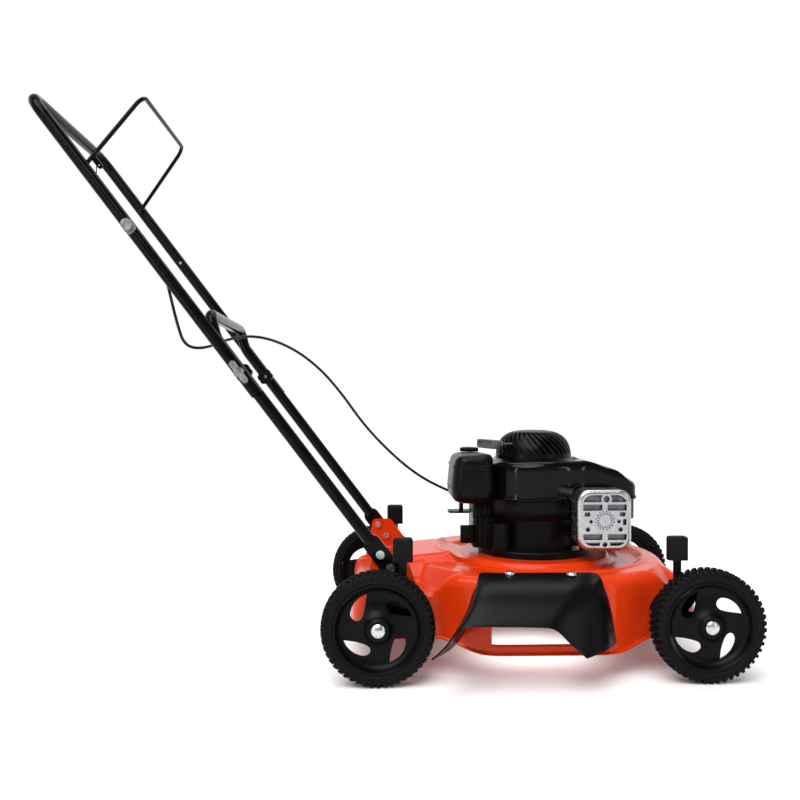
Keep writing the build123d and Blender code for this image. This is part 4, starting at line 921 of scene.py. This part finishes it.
# ---------------------------------------------------------------- stage and light
FLOOR = 12.0                 # half the floor's side
floor_corners = [(-FLOOR, -FLOOR, 0), (FLOOR, -FLOOR, 0), (FLOOR, FLOOR, 0), (-FLOOR, FLOOR, 0)]
floor_mesh = bpy.data.meshes.new("floor")
floor_mesh.from_pydata(floor_corners, [], [(0, 1, 2, 3)])
floor = bpy.data.objects.new("floor", floor_mesh)
bpy.context.collection.objects.link(floor)
floor_mesh.materials.append(finish_material("floor_paint", (0.90, 0.90, 0.90), (0.93, 0.93, 0.93),
                                            (0.60, 0.70), patch=1.5, grain=60.0, bump=0.02))

# the sky's light is dimmer overhead and on the discharge side, so black parts keep their depth;
# seen directly it is plain white from every side
world = bpy.data.worlds.new("studio")
world.use_nodes = True
world_nodes = world.node_tree.nodes
world_links = world.node_tree.links
direction = world_nodes.new("ShaderNodeTexCoord")
split = world_nodes.new("ShaderNodeSeparateXYZ")
world_links.new(direction.outputs["Generated"], split.inputs["Vector"])


def mix_colours(blend):
    """A colour mix node, and its factor, its two colours and its result."""
    mix = world_nodes.new("ShaderNodeMix")
    mix.data_type = "RGBA"
    mix.blend_type = blend
    return mix.inputs[0], mix.inputs[6], mix.inputs[7], mix.outputs[2]


overhead = add_ramp(world_nodes, world_links, split.outputs["Z"], (1.0, 1.0, 1.0), (0.30, 0.31, 0.33),
                    0.44, 0.75)
discharge_side = add_ramp(world_nodes, world_links, split.outputs["Y"], (0.34, 0.34, 0.35), (1.0, 1.0, 1.0),
                          0.0, 0.30)
factor, first_colour, second_colour, sky_light = mix_colours("MULTIPLY")
factor.default_value = 1.0
world_links.new(overhead, first_colour)
world_links.new(discharge_side, second_colour)
factor, first_colour, second_colour, sky = mix_colours("MIX")
world_links.new(world_nodes.new("ShaderNodeLightPath").outputs["Is Camera Ray"], factor)
world_links.new(sky_light, first_colour)
second_colour.default_value = (1.0, 1.0, 1.0, 1.0)
world_links.new(sky, world_nodes["Background"].inputs["Color"])
world_nodes["Background"].inputs["Strength"].default_value = 1.0
bpy.context.scene.world = world
bpy.context.scene.view_settings.view_transform = "Standard"


def aim(light, place, target):
    bpy.context.collection.objects.link(light)
    light.location = place
    light.rotation_euler = (Vector(target) - Vector(place)).to_track_quat("-Z", "Y").to_euler()


def area_light(name, place, target, size, power):
    data = bpy.data.lights.new(name, "AREA")
    data.shape = "RECTANGLE"
    data.size, data.size_y = size
    data.energy = power
    aim(bpy.data.objects.new(name, data), place, target)


sun = bpy.data.lights.new("sun", "SUN")
sun.energy = 3.1
sun.angle = radians(55)
aim(bpy.data.objects.new("sun", sun), (-0.9, -1.6, 3.0), (0.0, 0.0, 0.0))
area_light("key", (-0.5, -2.2, 2.2), (0.1, 0, 0.3), (1.4, 0.7), 13)
area_light("left_strip", (-1.5, -1.7, 0.75), (0.2, 0, 0.35), (0.10, 1.2), 5)
area_light("right_strip", (1.9, -1.5, 0.8), (0.3, 0, 0.3), (0.10, 1.1), 3.5)
area_light("top", (0.3, 0.5, 2.4), (0.2, 0, 0.2), (1.6, 0.9), 14)
# the floor under the deck is lit too, so that the discharge opening reads as an opening
area_light("under_deck", (0.28, MID_Y - 0.06, 0.075), (0.28, MID_Y - 0.06, 0), (0.20, 0.20), 0.30)
